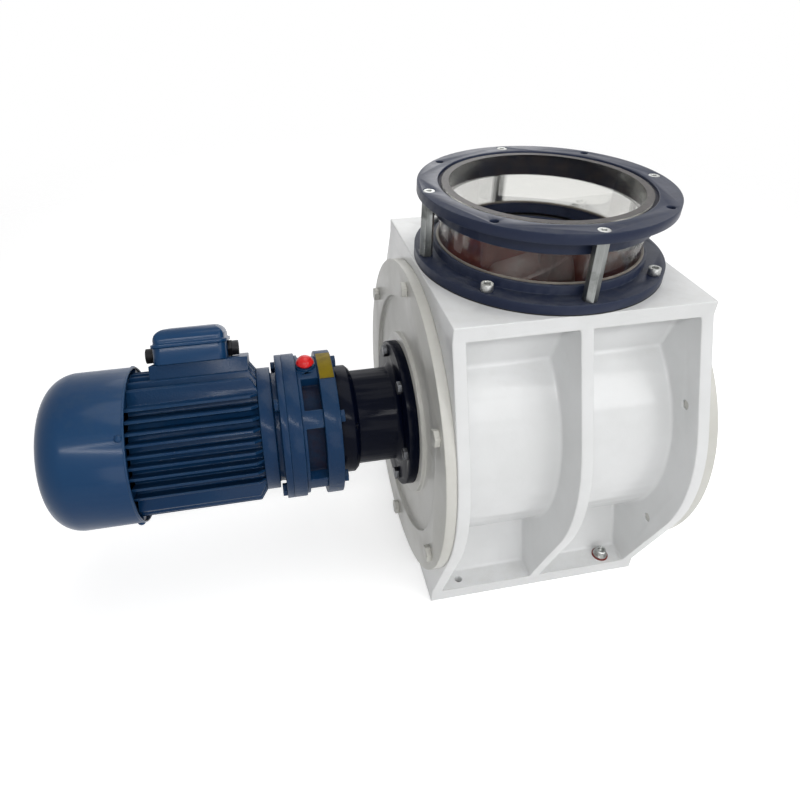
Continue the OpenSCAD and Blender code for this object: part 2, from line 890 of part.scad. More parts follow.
module gearbox_rear() color("#2b4a72") drive() {
    difference() {
        rod(gear_r, rear_in, shield_in);
        rod(motor_shaft_r + 3, rear_in - over, shield_in + over);
        rod(disc_bore_r + fit_play, rear_in + 3, shield_in - 5);
        rod(output_flange_r + 2, rear_in - over, rear_in + 2);
        rod(frame_bore_r, shield_in - 2, shield_in + over);
        gear_bolt_places() tapped_hole(gear_bolt_d, rear_in - over, shield_in - 3);
        shield_bolt_places() tapped_hole(gear_bolt_d, rear_in + 3, shield_in + over);
    }
}

module input_seal() color("black") drive() {
    tube(disc_bore_r, motor_shaft_r + fit_play, rear_in + 3.5, shield_in - 5.5);
}

module gearbox_bolts() color("dimgray") drive() {
    gear_bolt_places() translate([0, 0, front_in]) mirror([0, 0, 1])
        hex_bolt(gear_bolt_d, shield_in - front_in - 3 - end_room, gear_head_h);
}

module vent_plug() color("red") drive() {
    rotate([0, 0, vent_a]) translate([0, 0, vent_z]) rotate([0, 90, 0]) {
        rod(vent_stem_r, gear_r - 10, gear_r);
        rod(vent_pad_r - 3, gear_r, gear_r + 3);
        translate([0, 0, gear_r + 3]) intersection() {
            translate([0, 0, -2]) sphere(r = vent_pad_r);
            rod(vent_pad_r, 0, vent_pad_r);
        }
    }
}

module tag_plate() color("gold") drive() {
    rotate([0, 0, 73]) translate([0, 0, front_in + 1]) rotate_extrude(angle = 33)
        translate([gear_r, 0]) square([0.8, gear_front_len - 2]);
}

// ---- motor ----

module drive_shield() color("#2b4a72") drive() {
    rim_end = shield_in + shield_rim_t;
    difference() {
        union() {
            rod(gear_r, shield_in, rim_end);
            rod(shield_r - 8, shield_in, rim_end + shield_groove);
            rod(shield_r, rim_end + shield_groove, frame_in);
            rod(frame_bore_r - fit_play, frame_in - over, frame_in + frame_lip);
        }
        rod(motor_shaft_r + 2, shield_in - over, frame_in + frame_lip + over);
        rod(motor_bearing_r + fit_play, frame_in - 10, frame_in + frame_lip + over);
        shield_bolt_places() bolt_hole(gear_bolt_d, shield_in - over, rim_end + over);
    }
}

module shield_bolts() color("dimgray") drive() {
    shield_bolt_places() translate([0, 0, shield_in + shield_rim_t])
        hex_bolt(gear_bolt_d, shield_rim_t + gear_rear_len - 3 - end_room, gear_head_h);
}

// Parallel fins on both faces across x, cut to the round envelope later
module fin_bank(z0, z1) {
    rows = floor(0.6 * fin_r / fin_pitch);
    for (i = [-rows:rows])
        translate([-fin_r, i * fin_pitch - fin_t / 2, z0]) cube([2 * fin_r, fin_t, z1 - z0]);
}

module motor_frame() color("#2b4a72") drive() rotate([0, 0, box_tilt]) {
    pad_in = frame_in + fin_slope;
    difference() {
        union() {
            rod(frame_core_r, frame_in, frame_out);
            intersection() {
                union() {
                    cone(shield_r, fin_r, frame_in, pad_in);
                    rod(fin_r, pad_in, frame_out);
                }
                union() {
                    fin_bank(frame_in, frame_out);
                    rotate([0, 0, 90]) fin_bank(frame_in, frame_out);
                }
            }
            translate([-box_w / 2 + box_wall, 0, pad_in])
                cube([box_w - 2 * box_wall, box_foot, box_in + box_len + 6 - pad_in]);
        }
        rod(frame_bore_r, frame_in - over, frame_out + over);
        wire_way(0, box_foot + over);
    }
}

// Square way for the leads from the frame into the terminal box
module wire_way(y0, y1) {
    size = box_len / 2;
    translate([-size / 3, y0, box_mid - size / 2]) cube([size / 1.5, y1 - y0, size]);
}

module stator() color("sienna") drive() {
    core_in = frame_in + core_margin;
    core_out = frame_out - core_margin;
    tube(frame_bore_r - fit_play, stator_bore_r, core_in, core_out);
    tube(frame_bore_r - 3, stator_bore_r + 3, core_in - winding_len, core_in + over);
    tube(frame_bore_r - 3, stator_bore_r + 3, core_out - over, core_out + winding_len);
}

module motor_shaft() color("silver") drive() {
    rod(motor_shaft_r, disc_a_in + fit_play, fan_in + fan_len);
    rod(rotor_core_r, frame_in + core_margin, frame_out - core_margin);
}

module motor_bearings() color("silver") drive() {
    for (z0 = [frame_in - 10, frame_out - 4])
        tube(motor_bearing_r, motor_shaft_r + fit_play, z0, z0 + motor_bearing_w);
}

// Children at the four cowl screws, facing out of the cowl
module cowl_screw_places() {
    for (a = [45:90:315]) rotate([0, 0, a]) translate([0, 0, frame_out + fan_shield_t / 2])
        rotate([0, 90, 0]) children();
}

module fan_shield() color("#2b4a72") drive() {
    difference() {
        union() {
            rod(fin_r - 2, frame_out, frame_out + fan_shield_t);
            rod(frame_bore_r - fit_play, frame_out - frame_lip, frame_out + over);
            rod(motor_bearing_r + 8, frame_out, frame_out + motor_bearing_w);
            intersection() {
                rod(cowl_in_r - fit_play, frame_out, frame_out + fan_shield_t);
                for (a = [45:90:315]) rotate([0, 0, a])
                    translate([0, -fan_shield_arm / 2, frame_out])
                        cube([cowl_r, fan_shield_arm, fan_shield_t]);
            }
        }
        rod(motor_shaft_r + 2, frame_out - frame_lip - over, frame_out + motor_bearing_w + over);
        rod(motor_bearing_r + fit_play, frame_out - frame_lip - over, frame_out - 4 + motor_bearing_w);
        cowl_screw_places() tapped_hole(cowl_screw_d, cowl_in_r - cowl_screw_tap, cowl_in_r + over);
    }
}

module cooling_fan() color("dimgray") drive() {
    hub = 22;
    blade_t = 2.5;
    difference() {
        union() {
            rod(hub, fan_in, fan_in + fan_len);
            rod(fan_tip_r, fan_in, fan_in + blade_t);
            round_copies(7, 0) translate([hub - blade_t, -blade_t / 2, fan_in])
                cube([fan_tip_r - hub + blade_t - over, blade_t, fan_len]);
        }
        rod(motor_shaft_r, fan_in - over, fan_in + fan_len + over);
    }
}

// Half section of the domed cowl
module cowl_half(r, len, corner) {
    square([r, len - corner]);
    square([r - corner, len]);
    intersection() {
        translate([r - corner, len - corner]) circle(r = corner);
        square([r, len]);
    }
}

module fan_cowl() color("#2b4a72") drive() translate([0, 0, cowl_in]) {
    len = cowl_out - cowl_in;
    slot_w = 5;
    difference() {
        rotate_extrude() difference() {
            cowl_half(cowl_r, len, cowl_corner);
            translate([0, -over])
                cowl_half(cowl_in_r, len - cowl_wall + over, cowl_corner - cowl_wall);
        }
        for (ring = [0:3], a = [0:90:270])
            rotate([0, 0, a + 6 + 45 * (ring % 2)]) translate([0, 0, len - cowl_corner / 2])
                rotate_extrude(angle = 78) translate([12 + 2 * slot_w * ring, 0])
                    square([slot_w, cowl_corner]);
        translate([0, 0, -cowl_in]) cowl_screw_places()
            bolt_hole(cowl_screw_d, cowl_in_r - over, cowl_r + over);
    }
}

module cowl_screws() color("silver") drive() {
    cowl_screw_places() {
        intersection() {
            translate([0, 0, cowl_r - end_room]) sphere(r = 1.25 * cowl_screw_d);
            rod(1.25 * cowl_screw_d, cowl_r + fit_play, cowl_r + cowl_screw_d);
        }
        rod(cowl_screw_d / 2, cowl_in_r - cowl_screw_tap + end_room, cowl_r + over);
    }
}

// ---- terminal box, upright before its tilt: y is up, z along the motor ----

// Rounded outline of the box, shrunk by inset on every side
module box_outline(inset) {
    r = box_corner - inset;
    x = box_w / 2 - box_corner;
    z = box_len / 2 - box_corner;
    for (sx = [-1, 1], sz = [-1, 1]) translate([sx * x, sz * z]) circle(r = r);
    square([2 * x, 2 * (z + r)], center = true);
    square([2 * (x + r), 2 * z], center = true);
}

// Children standing on the box outline at height h over the motor axis
module box_place(h) {
    drive() rotate([0, 0, box_tilt]) translate([0, h, box_mid]) rotate([-90, 0, 0]) children();
}

module terminal_box() color("#2b4a72") {
    difference() {
        box_place(box_foot) linear_extrude(box_h) box_outline(0);
        box_place(box_foot + box_wall) linear_extrude(box_h) box_outline(box_wall);
        drive() rotate([0, 0, box_tilt]) wire_way(box_foot - over, box_foot + box_wall + over);
        gland_places() rod(gland_r - 2, -box_wall - end_room, over);
    }
}

// Upright section of the lid with rounded shoulders
module lid_arch(half, r) {
    translate([-half, 0]) square([2 * half, lid_h - r]);
    translate([-half + r, 0]) square([2 * (half - r), lid_h]);
    for (s = [-1, 1]) translate([s * (half - r), lid_h - r]) circle(r = r);
}

module terminal_lid() color("#2b4a72") {
    round_r = 0.7 * lid_h;
    brim = 4;
    box_place(box_top) difference() {
        union() {
            linear_extrude(brim) box_outline(-2);
            intersection() {
                translate([0, 0, brim - over]) linear_extrude(lid_h) box_outline(1);
                rotate([90, 0, 90]) translate([0, 0, -box_w]) linear_extrude(2 * box_w)
                    lid_arch(box_len / 2 - 1, round_r);
                rotate([90, 0, 0]) translate([0, 0, -box_len]) linear_extrude(2 * box_len)
                    lid_arch(box_w / 2 - 1, round_r);
            }
        }
        translate([0, 0, -over]) linear_extrude(lid_h / 2 + over) box_outline(box_wall + 3);
    }
}

// Children at the two cable entries, facing out of the box ends
module gland_places() {
    for (end = [-1, 1]) drive() rotate([0, 0, box_tilt])
        translate([0, box_top - gland_drop, box_mid + end * box_len / 2])
            rotate([end > 0 ? 0 : 180, 0, 0]) children();
}

module cable_glands() color("#202020") {
    nut_t = 5;
    cap_end = 13;
    gland_places() difference() {
        union() {
            cylinder(r = gland_r + 2, h = nut_t, $fn = 6);
            rod(gland_r, nut_t - over, cap_end);
            rod(gland_r - 2 - 2 * fit_play, -box_wall - over, over);
        }
        rod(gland_r - 4, -box_wall - end_room, cap_end + over);
    }
}

valve_body();
drive_end_cover();
far_end_cover();
drive_cover_bolts();
far_cover_bolts();
rotor_vanes();
rotor_shaft();
shaft_keys();
drive_bearing_outer();
drive_bearing_inner();
far_bearing_outer();
far_bearing_inner();
drive_shaft_seal();
far_shaft_seal();
far_bearing_cap();
bearing_cap_screws();
inlet_gasket();
lower_ring();
lower_ring_screws();
glass_seat_gasket();
sight_glass();
glass_packing();
upper_ring();
standoffs();
standoff_screws();
coupling_adapter();
adapter_bolts();
adapter_screws();
driven_hub();
coupling_spider();
driving_hub();
output_shaft();
output_rollers();
output_seal();
output_bearing();
gearbox_front();
ring_case();
ring_pins();
cycloid_disc_a();
cycloid_disc_b();
eccentric_sleeve();
eccentric_rollers();
gearbox_rear();
input_seal();
gearbox_bolts();
vent_plug();
tag_plate();
drive_shield();
shield_bolts();
motor_frame();
stator();
motor_shaft();
motor_bearings();
fan_shield();
cooling_fan();
fan_cowl();
cowl_screws();
terminal_box();
terminal_lid();
cable_glands();
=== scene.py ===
"""Dresses the rotary airlock valve: finishes, rounded edges, small fittings, studio."""

import json
import logging
import math
from dataclasses import dataclass, field
from enum import Enum
from typing import Any, Iterable, Mapping, Optional, Sequence, Union

import bmesh
import bpy
from mathutils import Matrix, Vector


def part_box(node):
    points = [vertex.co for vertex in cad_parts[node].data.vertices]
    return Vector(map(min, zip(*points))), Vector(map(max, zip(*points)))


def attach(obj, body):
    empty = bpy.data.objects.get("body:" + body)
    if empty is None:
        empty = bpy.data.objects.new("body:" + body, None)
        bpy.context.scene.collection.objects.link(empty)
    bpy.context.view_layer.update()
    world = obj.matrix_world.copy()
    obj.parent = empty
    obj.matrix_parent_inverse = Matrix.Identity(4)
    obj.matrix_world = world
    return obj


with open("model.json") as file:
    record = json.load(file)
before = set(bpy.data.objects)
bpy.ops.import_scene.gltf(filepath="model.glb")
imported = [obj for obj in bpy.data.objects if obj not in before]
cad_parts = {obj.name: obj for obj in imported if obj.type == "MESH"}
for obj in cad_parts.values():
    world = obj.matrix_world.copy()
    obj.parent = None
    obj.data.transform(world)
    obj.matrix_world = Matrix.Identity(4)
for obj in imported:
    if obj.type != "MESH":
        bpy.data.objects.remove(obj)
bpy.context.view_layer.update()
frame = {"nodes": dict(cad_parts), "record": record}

LOG = logging.getLogger("airlock_valve")
Colour = tuple[float, float, float]
Place = tuple[float, float, float]
MM = 0.001
AXIS_HEIGHT = 0.208  # of the rotor above the floor


class Body(Enum):
    """The moving bodies of the valve."""

    HOUSING = "housing"
    ROTOR = "rotor"
    MOTOR_ROTOR = "motor_rotor"
    DISC_A = "disc_a"
    DISC_B = "disc_b"


class Lay(Enum):
    """Tool marks on a bare metal: how many there are per metre along each axis."""

    NONE = (900.0, 900.0, 900.0)
    TURNED_X = (2600.0, 9.0, 9.0)
    DRAWN_Z = (1500.0, 1500.0, 25.0)


# ---------------------------------------------------------------- shader graphs


class Signal:
    """A number that varies over a surface, usable in arithmetic."""

    def __init__(self, graph: "Graph", socket: bpy.types.NodeSocket) -> None:
        """Wraps one output socket of a graph."""
        self.graph = graph
        self.socket = socket

    def _math(self, operation: str, *operands: Any) -> "Signal":
        """Adds a Math node.

        Args:
            operation: The node's operation.
            operands: Signals or numbers for its inputs, in order.

        Returns:
            The result.
        """
        node = self.graph.node(
            "ShaderNodeMath", {"operation": operation}, dict(enumerate(operands))
        )
        return Signal(self.graph, node.outputs[0])

    def __add__(self, other: "Number") -> "Signal":
        """Sum."""
        return self._math("ADD", self, other)

    def __radd__(self, other: "Number") -> "Signal":
        """Sum, reflected."""
        return self._math("ADD", other, self)

    def __sub__(self, other: "Number") -> "Signal":
        """Difference."""
        return self._math("SUBTRACT", self, other)

    def __rsub__(self, other: "Number") -> "Signal":
        """Difference, reflected."""
        return self._math("SUBTRACT", other, self)

    def __mul__(self, other: "Number") -> "Signal":
        """Product."""
        return self._math("MULTIPLY", self, other)

    def __rmul__(self, other: "Number") -> "Signal":
        """Product, reflected."""
        return self._math("MULTIPLY", other, self)

    def __abs__(self) -> "Signal":
        """Size without sign."""
        return self._math("ABSOLUTE", self)

    def most(self, other: "Number") -> "Signal":
        """The larger of this and another."""
        return self._math("MAXIMUM", self, other)

    def least(self, other: "Number") -> "Signal":
        """The smaller of this and another."""
        return self._math("MINIMUM", self, other)

    def root(self) -> "Signal":
        """Square root."""
        return self._math("SQRT", self)

    def step(self, low: float, high: float) -> "Signal":
        """Smooth step.

        Args:
            low: Value that gives 0.
            high: Value that gives 1.

        Returns:
            A number from 0 to 1.
        """
        node = self.graph.node(
            "ShaderNodeMapRange",
            {"interpolation_type": "SMOOTHSTEP", "clamp": True},
            {"Value": self, "From Min": low, "From Max": high},
        )
        return Signal(self.graph, node.outputs[0])


Number = Union[Signal, float]
Colourful = Union[bpy.types.NodeSocket, Colour]
Shaded = Union[bpy.types.Material, bpy.types.World]


class Tree:
    """A node tree that is filled through one method."""

    def __init__(self, tree: bpy.types.NodeTree) -> None:
        """Starts with the tree empty."""
        self.tree = tree
        self.tree.nodes.clear()

    def node(
        self,
        kind: str,
        settings: Optional[Mapping[str, Any]] = None,
        sockets: Optional[Mapping[Union[int, str], Any]] = None,
    ) -> bpy.types.Node:
        """Adds a node.

        Args:
            kind: Type of the node.
            settings: Attributes of the node, set first.
            sockets: Values, signals or sockets for its inputs by name or number.

        Returns:
            The node.
        """
        made = self.tree.nodes.new(kind)
        for key, value in (settings or {}).items():
            setattr(made, key, value)
        for key, value in (sockets or {}).items():
            slot = made.inputs[key]
            if isinstance(value, Signal):
                value = value.socket
            if isinstance(value, bpy.types.NodeSocket):
                self.tree.links.new(value, slot)
            elif slot.type == "RGBA":
                slot.default_value = (*value, 1.0)
            else:
                slot.default_value = value
        return made


class Graph(Tree):
    """Shader of one material, or of the surroundings."""

    def __init__(self, owner: Shaded) -> None:
        """Starts with the owner's shader empty.

        Args:
            owner: The material, or the world.
        """
        owner.use_nodes = True
        self.owner = owner
        super().__init__(owner.node_tree)

    def place(self) -> bpy.types.NodeSocket:
        """Position in the frame."""
        return self.node("ShaderNodeTexCoord").outputs["Object"]

    def axes(self, vector: bpy.types.NodeSocket) -> tuple[Signal, Signal, Signal]:
        """The three parts of a vector."""
        parts = self.node("ShaderNodeSeparateXYZ", None, {0: vector}).outputs
        return Signal(self, parts[0]), Signal(self, parts[1]), Signal(self, parts[2])

    def stretch(self, vector: bpy.types.NodeSocket, scale: Place) -> bpy.types.NodeSocket:
        """A vector with each part scaled."""
        return self.node("ShaderNodeMapping", None, {"Vector": vector, "Scale": scale}).outputs[0]

    def noise(
        self,
        vector: bpy.types.NodeSocket,
        scale: float,
        detail: float = 2.0,
        rough: float = 0.5,
    ) -> Signal:
        """Cloudy noise.

        Args:
            vector: Position.
            scale: Features per metre.
            detail: Number of finer layers.
            rough: Strength of the finer layers.

        Returns:
            A number about 0.5.
        """
        made = self.node(
            "ShaderNodeTexNoise",
            None,
            {"Vector": vector, "Scale": scale, "Detail": detail, "Roughness": rough},
        )
        return Signal(self, made.outputs[0])

    def cells(self, vector: bpy.types.NodeSocket, scale: float) -> tuple[Signal, Signal]:
        """Random cells.

        Args:
            vector: Position.
            scale: Cells per metre.

        Returns:
            Distance from the cell's middle, and a random number for the cell.
        """
        made = self.node("ShaderNodeTexVoronoi", None, {"Vector": vector, "Scale": scale})
        tone = self.node("ShaderNodeSeparateColor", None, {0: made.outputs["Color"]})
        return Signal(self, made.outputs["Distance"]), Signal(self, tone.outputs[0])

    def mix(self, share: Number, first: Colourful, second: Colourful) -> bpy.types.NodeSocket:
        """Mixes two colours: the first at share 0, the second at share 1."""
        made = self.node("ShaderNodeMix", {"data_type": "RGBA"}, {0: share, 6: first, 7: second})
        return made.outputs[2]

    def blend(
        self, share: Number, first: bpy.types.NodeSocket, second: bpy.types.NodeSocket
    ) -> bpy.types.NodeSocket:
        """Blends two shaders: the first at share 0, the second at share 1."""
        return self.node("ShaderNodeMixShader", None, {0: share, 1: first, 2: second}).outputs[0]

    def facing(self) -> bpy.types.NodeSocket:
        """Direction that the surface faces."""
        return self.node("ShaderNodeNewGeometry").outputs["Normal"]

    def rounded(self, radius: float) -> bpy.types.NodeSocket:
        """Direction that the surface would face with its edges rounded."""
        return self.node("ShaderNodeBevel", {"samples": 4}, {"Radius": radius}).outputs[0]

    def edges(self, radius: float, faint: float = 0.015, full: float = 0.16) -> Signal:
        """A mask of the edges.

        Args:
            radius: How far the mask reaches from an edge.
            faint: Change of direction that gives 0.
            full: Change of direction that gives 1.

        Returns:
            A number from 0 on flats to 1 at edges.
        """
        dot = self.node(
            "ShaderNodeVectorMath",
            {"operation": "DOT_PRODUCT"},
            {0: self.rounded(radius), 1: self.facing()},
        )
        return (1.0 - Signal(self, dot.outputs["Value"])).step(faint, full)

    def bump(
        self,
        height: Signal,
        strength: float,
        depth: float,
        normal: Optional[bpy.types.NodeSocket] = None,
    ) -> bpy.types.NodeSocket:
        """Turns a height into a normal.

        Args:
            height: Height from 0 to 1.
            strength: Share of the effect.
            depth: Depth of the relief in metres.
            normal: Normal that it starts from.

        Returns:
            The normal.
        """
        sockets = {"Height": height, "Strength": strength, "Distance": depth}
        if normal is not None:
            sockets["Normal"] = normal
        return self.node("ShaderNodeBump", None, sockets).outputs[0]

    def seen(self) -> Signal:
        """Finds the rays that look at something, straight, by a reflection or through glass.

        Returns:
            1 for such a ray, and 0 for one that only lights.
        """
        path = self.node("ShaderNodeLightPath").outputs
        straight = Signal(self, path["Is Camera Ray"])
        return straight.most(Signal(self, path["Is Glossy Ray"])).most(
            Signal(self, path["Is Transmission Ray"])
        )

    def surface(self, sockets: Mapping[Union[int, str], Any]) -> Shaded:
        """Ends the graph in a principled shader with these sockets and gives its owner."""
        shader = self.node("ShaderNodeBsdfPrincipled", None, sockets)
        return self.output(shader.outputs[0])

    def output(self, shader: bpy.types.NodeSocket) -> Shaded:
        """Ends the graph in a shader.

        Args:
            shader: The shader.

        Returns:
            The owner of the graph.
        """
        world = isinstance(self.owner, bpy.types.World)
        kind = "ShaderNodeOutputWorld" if world else "ShaderNodeOutputMaterial"
        self.node(kind, None, {"Surface": shader})
        return self.owner


# ---------------------------------------------------------------- finishes

STORE: dict[str, bpy.types.Material] = {}


@dataclass(frozen=True)
class Finish:
    """A finish that is made into a material once."""

    name: str

    def material(self) -> bpy.types.Material:
        """Gives the material.

        Returns:
            The material, made at the first call.
        """
        if self.name not in STORE:
            STORE[self.name] = self.build(Graph(bpy.data.materials.new(self.name)))
        return STORE[self.name]

    def build(self, graph: Graph) -> bpy.types.Material:
        """Makes the material in a graph."""
        raise NotImplementedError


@dataclass(frozen=True)
class Enamel(Finish):
    """Sprayed or brushed enamel on metal, with orange peel, dust and worn edges."""

    colour: Colour = (0.5, 0.5, 0.5)
    tint: Colour = (0.4, 0.4, 0.4)
    bare: Colour = (0.3, 0.3, 0.3)
    dust: Colour = (0.45, 0.43, 0.40)
    roughness: float = 0.3
    gloss: float = 0.4
    coat: float = 0.2
    peel: float = 0.3
    wear: float = 0.4
    dustiness: float = 0.2
    specks: float = 0.0
    edge: float = 1.2 * MM
    # Colours of what the inside mask finds: the body's red oxide priming in its bore and throats,
    # and painted shade on the ring case's pocket floors.
    primer_and_shade: Colour = (0.150, 0.034, 0.024)
    primer_and_shade_dark: Colour = (0.070, 0.026, 0.020)
    speck_colour: Colour = (0.10, 0.09, 0.08)
    coat_roughness: float = 0.16
    clouds: float = 8.0
    mottles: float = 70.0
    drips: Place = (60.0, 60.0, 9.0)
    speck_cells: float = 48.0
    fine_peel: float = 480.0
    broad_peel: float = 130.0

    def inside(self, graph: Graph, place: bpy.types.NodeSocket) -> Optional[Signal]:
        """Mask of an inner surface that is coloured apart, if there is one: red oxide priming in
        the body, painted shade in the pockets.
        """
        return None

    def build(self, graph: Graph) -> bpy.types.Material:
        """Makes the material in a graph.

        Args:
            graph: The material's graph, still empty.

        Returns:
            The material.
        """
        place = graph.place()
        cloud = graph.noise(place, self.clouds, 4.0, 0.6)
        mottle = graph.noise(place, self.mottles, 4.0, 0.65)
        drip = graph.noise(graph.stretch(place, self.drips), 1.0, 2.0)
        colour = graph.mix(cloud.step(0.36, 0.70) * 0.8, self.colour, self.tint)
        colour = graph.mix((drip * mottle).step(0.30, 0.42) * 0.22, colour, self.tint)
        up = graph.axes(graph.facing())[2]
        dusty = up.step(0.55, 1.0) * mottle.step(0.40, 0.66) * self.dustiness
        colour = graph.mix(dusty, colour, self.dust)
        edge = graph.edges(2.2 * self.edge)
        worn = edge * (0.35 + mottle.step(0.42, 0.60)) * self.wear
        colour = graph.mix(worn, colour, self.bare)
        rough = self.roughness + 0.14 * cloud.step(0.3, 0.8) + 0.25 * dusty + 0.12 * worn
        if self.specks > 0.0:
            far, pick = graph.cells(place, self.speck_cells)
            speck = (1.0 - far.step(0.025, 0.06)) * pick.step(0.95, 0.96) * self.specks
            colour = graph.mix(speck, colour, self.speck_colour)
        coat = self.coat
        inner = self.inside(graph, place)
        if inner is not None:
            # Red oxide priming in the body; painted shade on the floors of the ring case's
            # pockets.
            oxide = graph.mix(mottle.step(0.35, 0.70), self.primer_and_shade, self.primer_and_shade_dark)
            colour = graph.mix(inner, colour, oxide)
            rough = rough + 0.45 * inner
            coat = self.coat * (1.0 - inner)
        fine = graph.noise(place, self.fine_peel, 1.0)
        peel = fine * 0.5 + graph.noise(place, self.broad_peel, 2.0)
        normal = graph.bump(peel, self.peel, 0.5 * MM, graph.rounded(self.edge))
        return graph.surface(
            {
                "Base Color": colour,
                "Roughness": rough,
                "Normal": normal,
                "Coat Weight": coat,
                "Coat Roughness": self.coat_roughness,
                "Specular IOR Level": self.gloss,
            }
        )


@dataclass(frozen=True)
class BodyEnamel(Enamel):
    """White body enamel whose product way is primed red oxide."""

    axis_height: float = AXIS_HEIGHT
    bore_radius: float = 0.1425
    throat_radius: float = 0.1006
    neck_inside: float = 0.0736
    neck_start: float = 0.112
    neck_slope: float = 26.0 / 79.0
    blend: float = 0.2 * MM

    def inside(self, graph: Graph, place: bpy.types.NodeSocket) -> Optional[Signal]:
        """Mask of the barrel bore and of both throats.

        Args:
            graph: Graph of the material.
            place: Position.

        Returns:
            A number from 0 outside them to 1 in them.
        """
        x, y, z = graph.axes(place)
        rise = abs(z - self.axis_height)
        bore = 1.0 - (y * y + rise * rise).root().step(
            self.bore_radius, self.bore_radius + self.blend
        )
        round_way = 1.0 - (x * x + y * y).root().step(
            self.throat_radius, self.throat_radius + self.blend
        )
        lean = (rise - self.neck_start).most(0.0) * self.neck_slope + self.neck_inside
        between = (lean - abs(y)).step(-2.0 * self.blend, 0.0)
        return bore.most(round_way * between)


@dataclass(frozen=True)
class PocketEnamel(Enamel):
    """Enamel with painted shade at the bottom of the pockets in the rim of a casting."""

    floor_radius: float = 0.0728
    axis_height: float = AXIS_HEIGHT
    # Share of the painted shade that darkens the pocket floors.
    pocket_shade: float = 0.75
    blend: float = 1.5 * MM

    def inside(self, graph: Graph, place: bpy.types.NodeSocket) -> Optional[Signal]:
        """Mask of the painted shade on the pocket floors and on all that lies further in.

        Args:
            graph: Graph of the material.
            place: Position.

        Returns:
            A number from 0 at the rim to the share of the painted shade further in.
        """
        _, y, z = graph.axes(place)
        rise = z - self.axis_height
        out = (y * y + rise * rise).root()
        return (1.0 - out.step(self.floor_radius, self.floor_radius + self.blend)) * self.pocket_shade


@dataclass(frozen=True)
class BareMetal(Finish):
    """Bare or plated metal with tool marks and tarnish."""

    colour: Colour = (0.6, 0.6, 0.62)
    tarnish: Colour = (0.35, 0.34, 0.33)
    roughness: float = 0.3
    lay: Lay = Lay.NONE
    marks: float = 0.3
    stain: float = 0.5

    def tool_marks(self, graph: Graph, place: bpy.types.NodeSocket) -> Signal:
        """Height of the tool marks.

        Args:
            graph: Graph of the material.
            place: Position.

        Returns:
            A number about 0.5.
        """
        if self.lay is Lay.NONE:
            return graph.noise(place, self.lay.value[0], 2.0)
        return graph.noise(graph.stretch(place, self.lay.value), 1.0, 2.0)

    def build(self, graph: Graph) -> bpy.types.Material:
        """Makes the material in a graph.

        Args:
            graph: The material's graph, still empty.

        Returns:
            The material.
        """
        place = graph.place()
        cloud = graph.noise(place, 45.0, 4.0, 0.6)
        marks = self.tool_marks(graph, place)
        stain = cloud.step(0.45, 0.72) * self.stain
        colour = graph.mix(stain, self.colour, self.tarnish)
        colour = graph.mix(marks.step(0.3, 0.7) * 0.18, colour, self.tarnish)
        rough = self.roughness + 0.22 * stain + 0.10 * marks.step(0.3, 0.7)
        return graph.surface(
            {
                "Base Color": colour,
                "Metallic": 1.0,
                "Roughness": rough,
                "Normal": graph.bump(marks, self.marks, 0.06 * MM, graph.rounded(0.4 * MM)),
            }
        )


@dataclass(frozen=True)
class Moulded(Finish):
    """Rubber or plastic with a fine grain and chalky edges."""

    colour: Colour = (0.03, 0.03, 0.03)
    tint: Colour = (0.05, 0.05, 0.05)
    roughness: float = 0.5
    coat: float = 0.0
    grain: float = 0.3
    gloss: float = 0.4

    def build(self, graph: Graph) -> bpy.types.Material:
        """Makes the material in a graph.

        Args:
            graph: The material's graph, still empty.

        Returns:
            The material.
        """
        place = graph.place()
        cloud = graph.noise(place, 60.0, 4.0, 0.6)
        grain = graph.noise(place, 1400.0, 2.0)
        edge = graph.edges(0.8 * MM)
        colour = graph.mix((cloud.step(0.35, 0.7) + edge * 0.6).least(1.0), self.colour, self.tint)
        rough = self.roughness + 0.15 * cloud.step(0.4, 0.7)
        return graph.surface(
            {
                "Base Color": colour,
                "Roughness": rough,
                "Coat Weight": self.coat,
                "Specular IOR Level": self.gloss,
                "Normal": graph.bump(grain, self.grain, 0.1 * MM, graph.rounded(0.5 * MM)),
            }
        )


@dataclass(frozen=True)
class Winding(Finish):
    """Laminated core with varnished copper end windings."""

    middle: float
    core_half: float
    blend: float = 0.5 * MM
    copper: Colour = (0.42, 0.13, 0.04)
    copper_dark: Colour = (0.20, 0.06, 0.02)
    iron: Colour = (0.16, 0.16, 0.17)
    iron_dark: Colour = (0.09, 0.09, 0.095)

    def build(self, graph: Graph) -> bpy.types.Material:
        """Makes the material in a graph.

        Args:
            graph: The material's graph, still empty.

        Returns:
            The material.
        """
        place = graph.place()
        x = graph.axes(place)[0]
        sheets = graph.noise(graph.stretch(place, (2000.0, 2.0, 2.0)), 1.0, 0.0)
        wires = graph.noise(graph.stretch(place, (300.0, 900.0, 900.0)), 1.0, 2.0)
        far = abs(x - self.middle)
        core = 1.0 - far.step(self.core_half - self.blend, self.core_half + self.blend)
        copper = graph.mix(wires.step(0.35, 0.65), self.copper, self.copper_dark)
        iron = graph.mix(sheets.step(0.4, 0.6), self.iron, self.iron_dark)
        height = core * sheets + (1.0 - core) * wires
        return graph.surface(
            {
                "Base Color": graph.mix(core, copper, iron),
                "Metallic": 0.8,
                "Roughness": 0.35 + 0.2 * wires,
                "Normal": graph.bump(height, 0.5, 0.3 * MM),
            }
        )


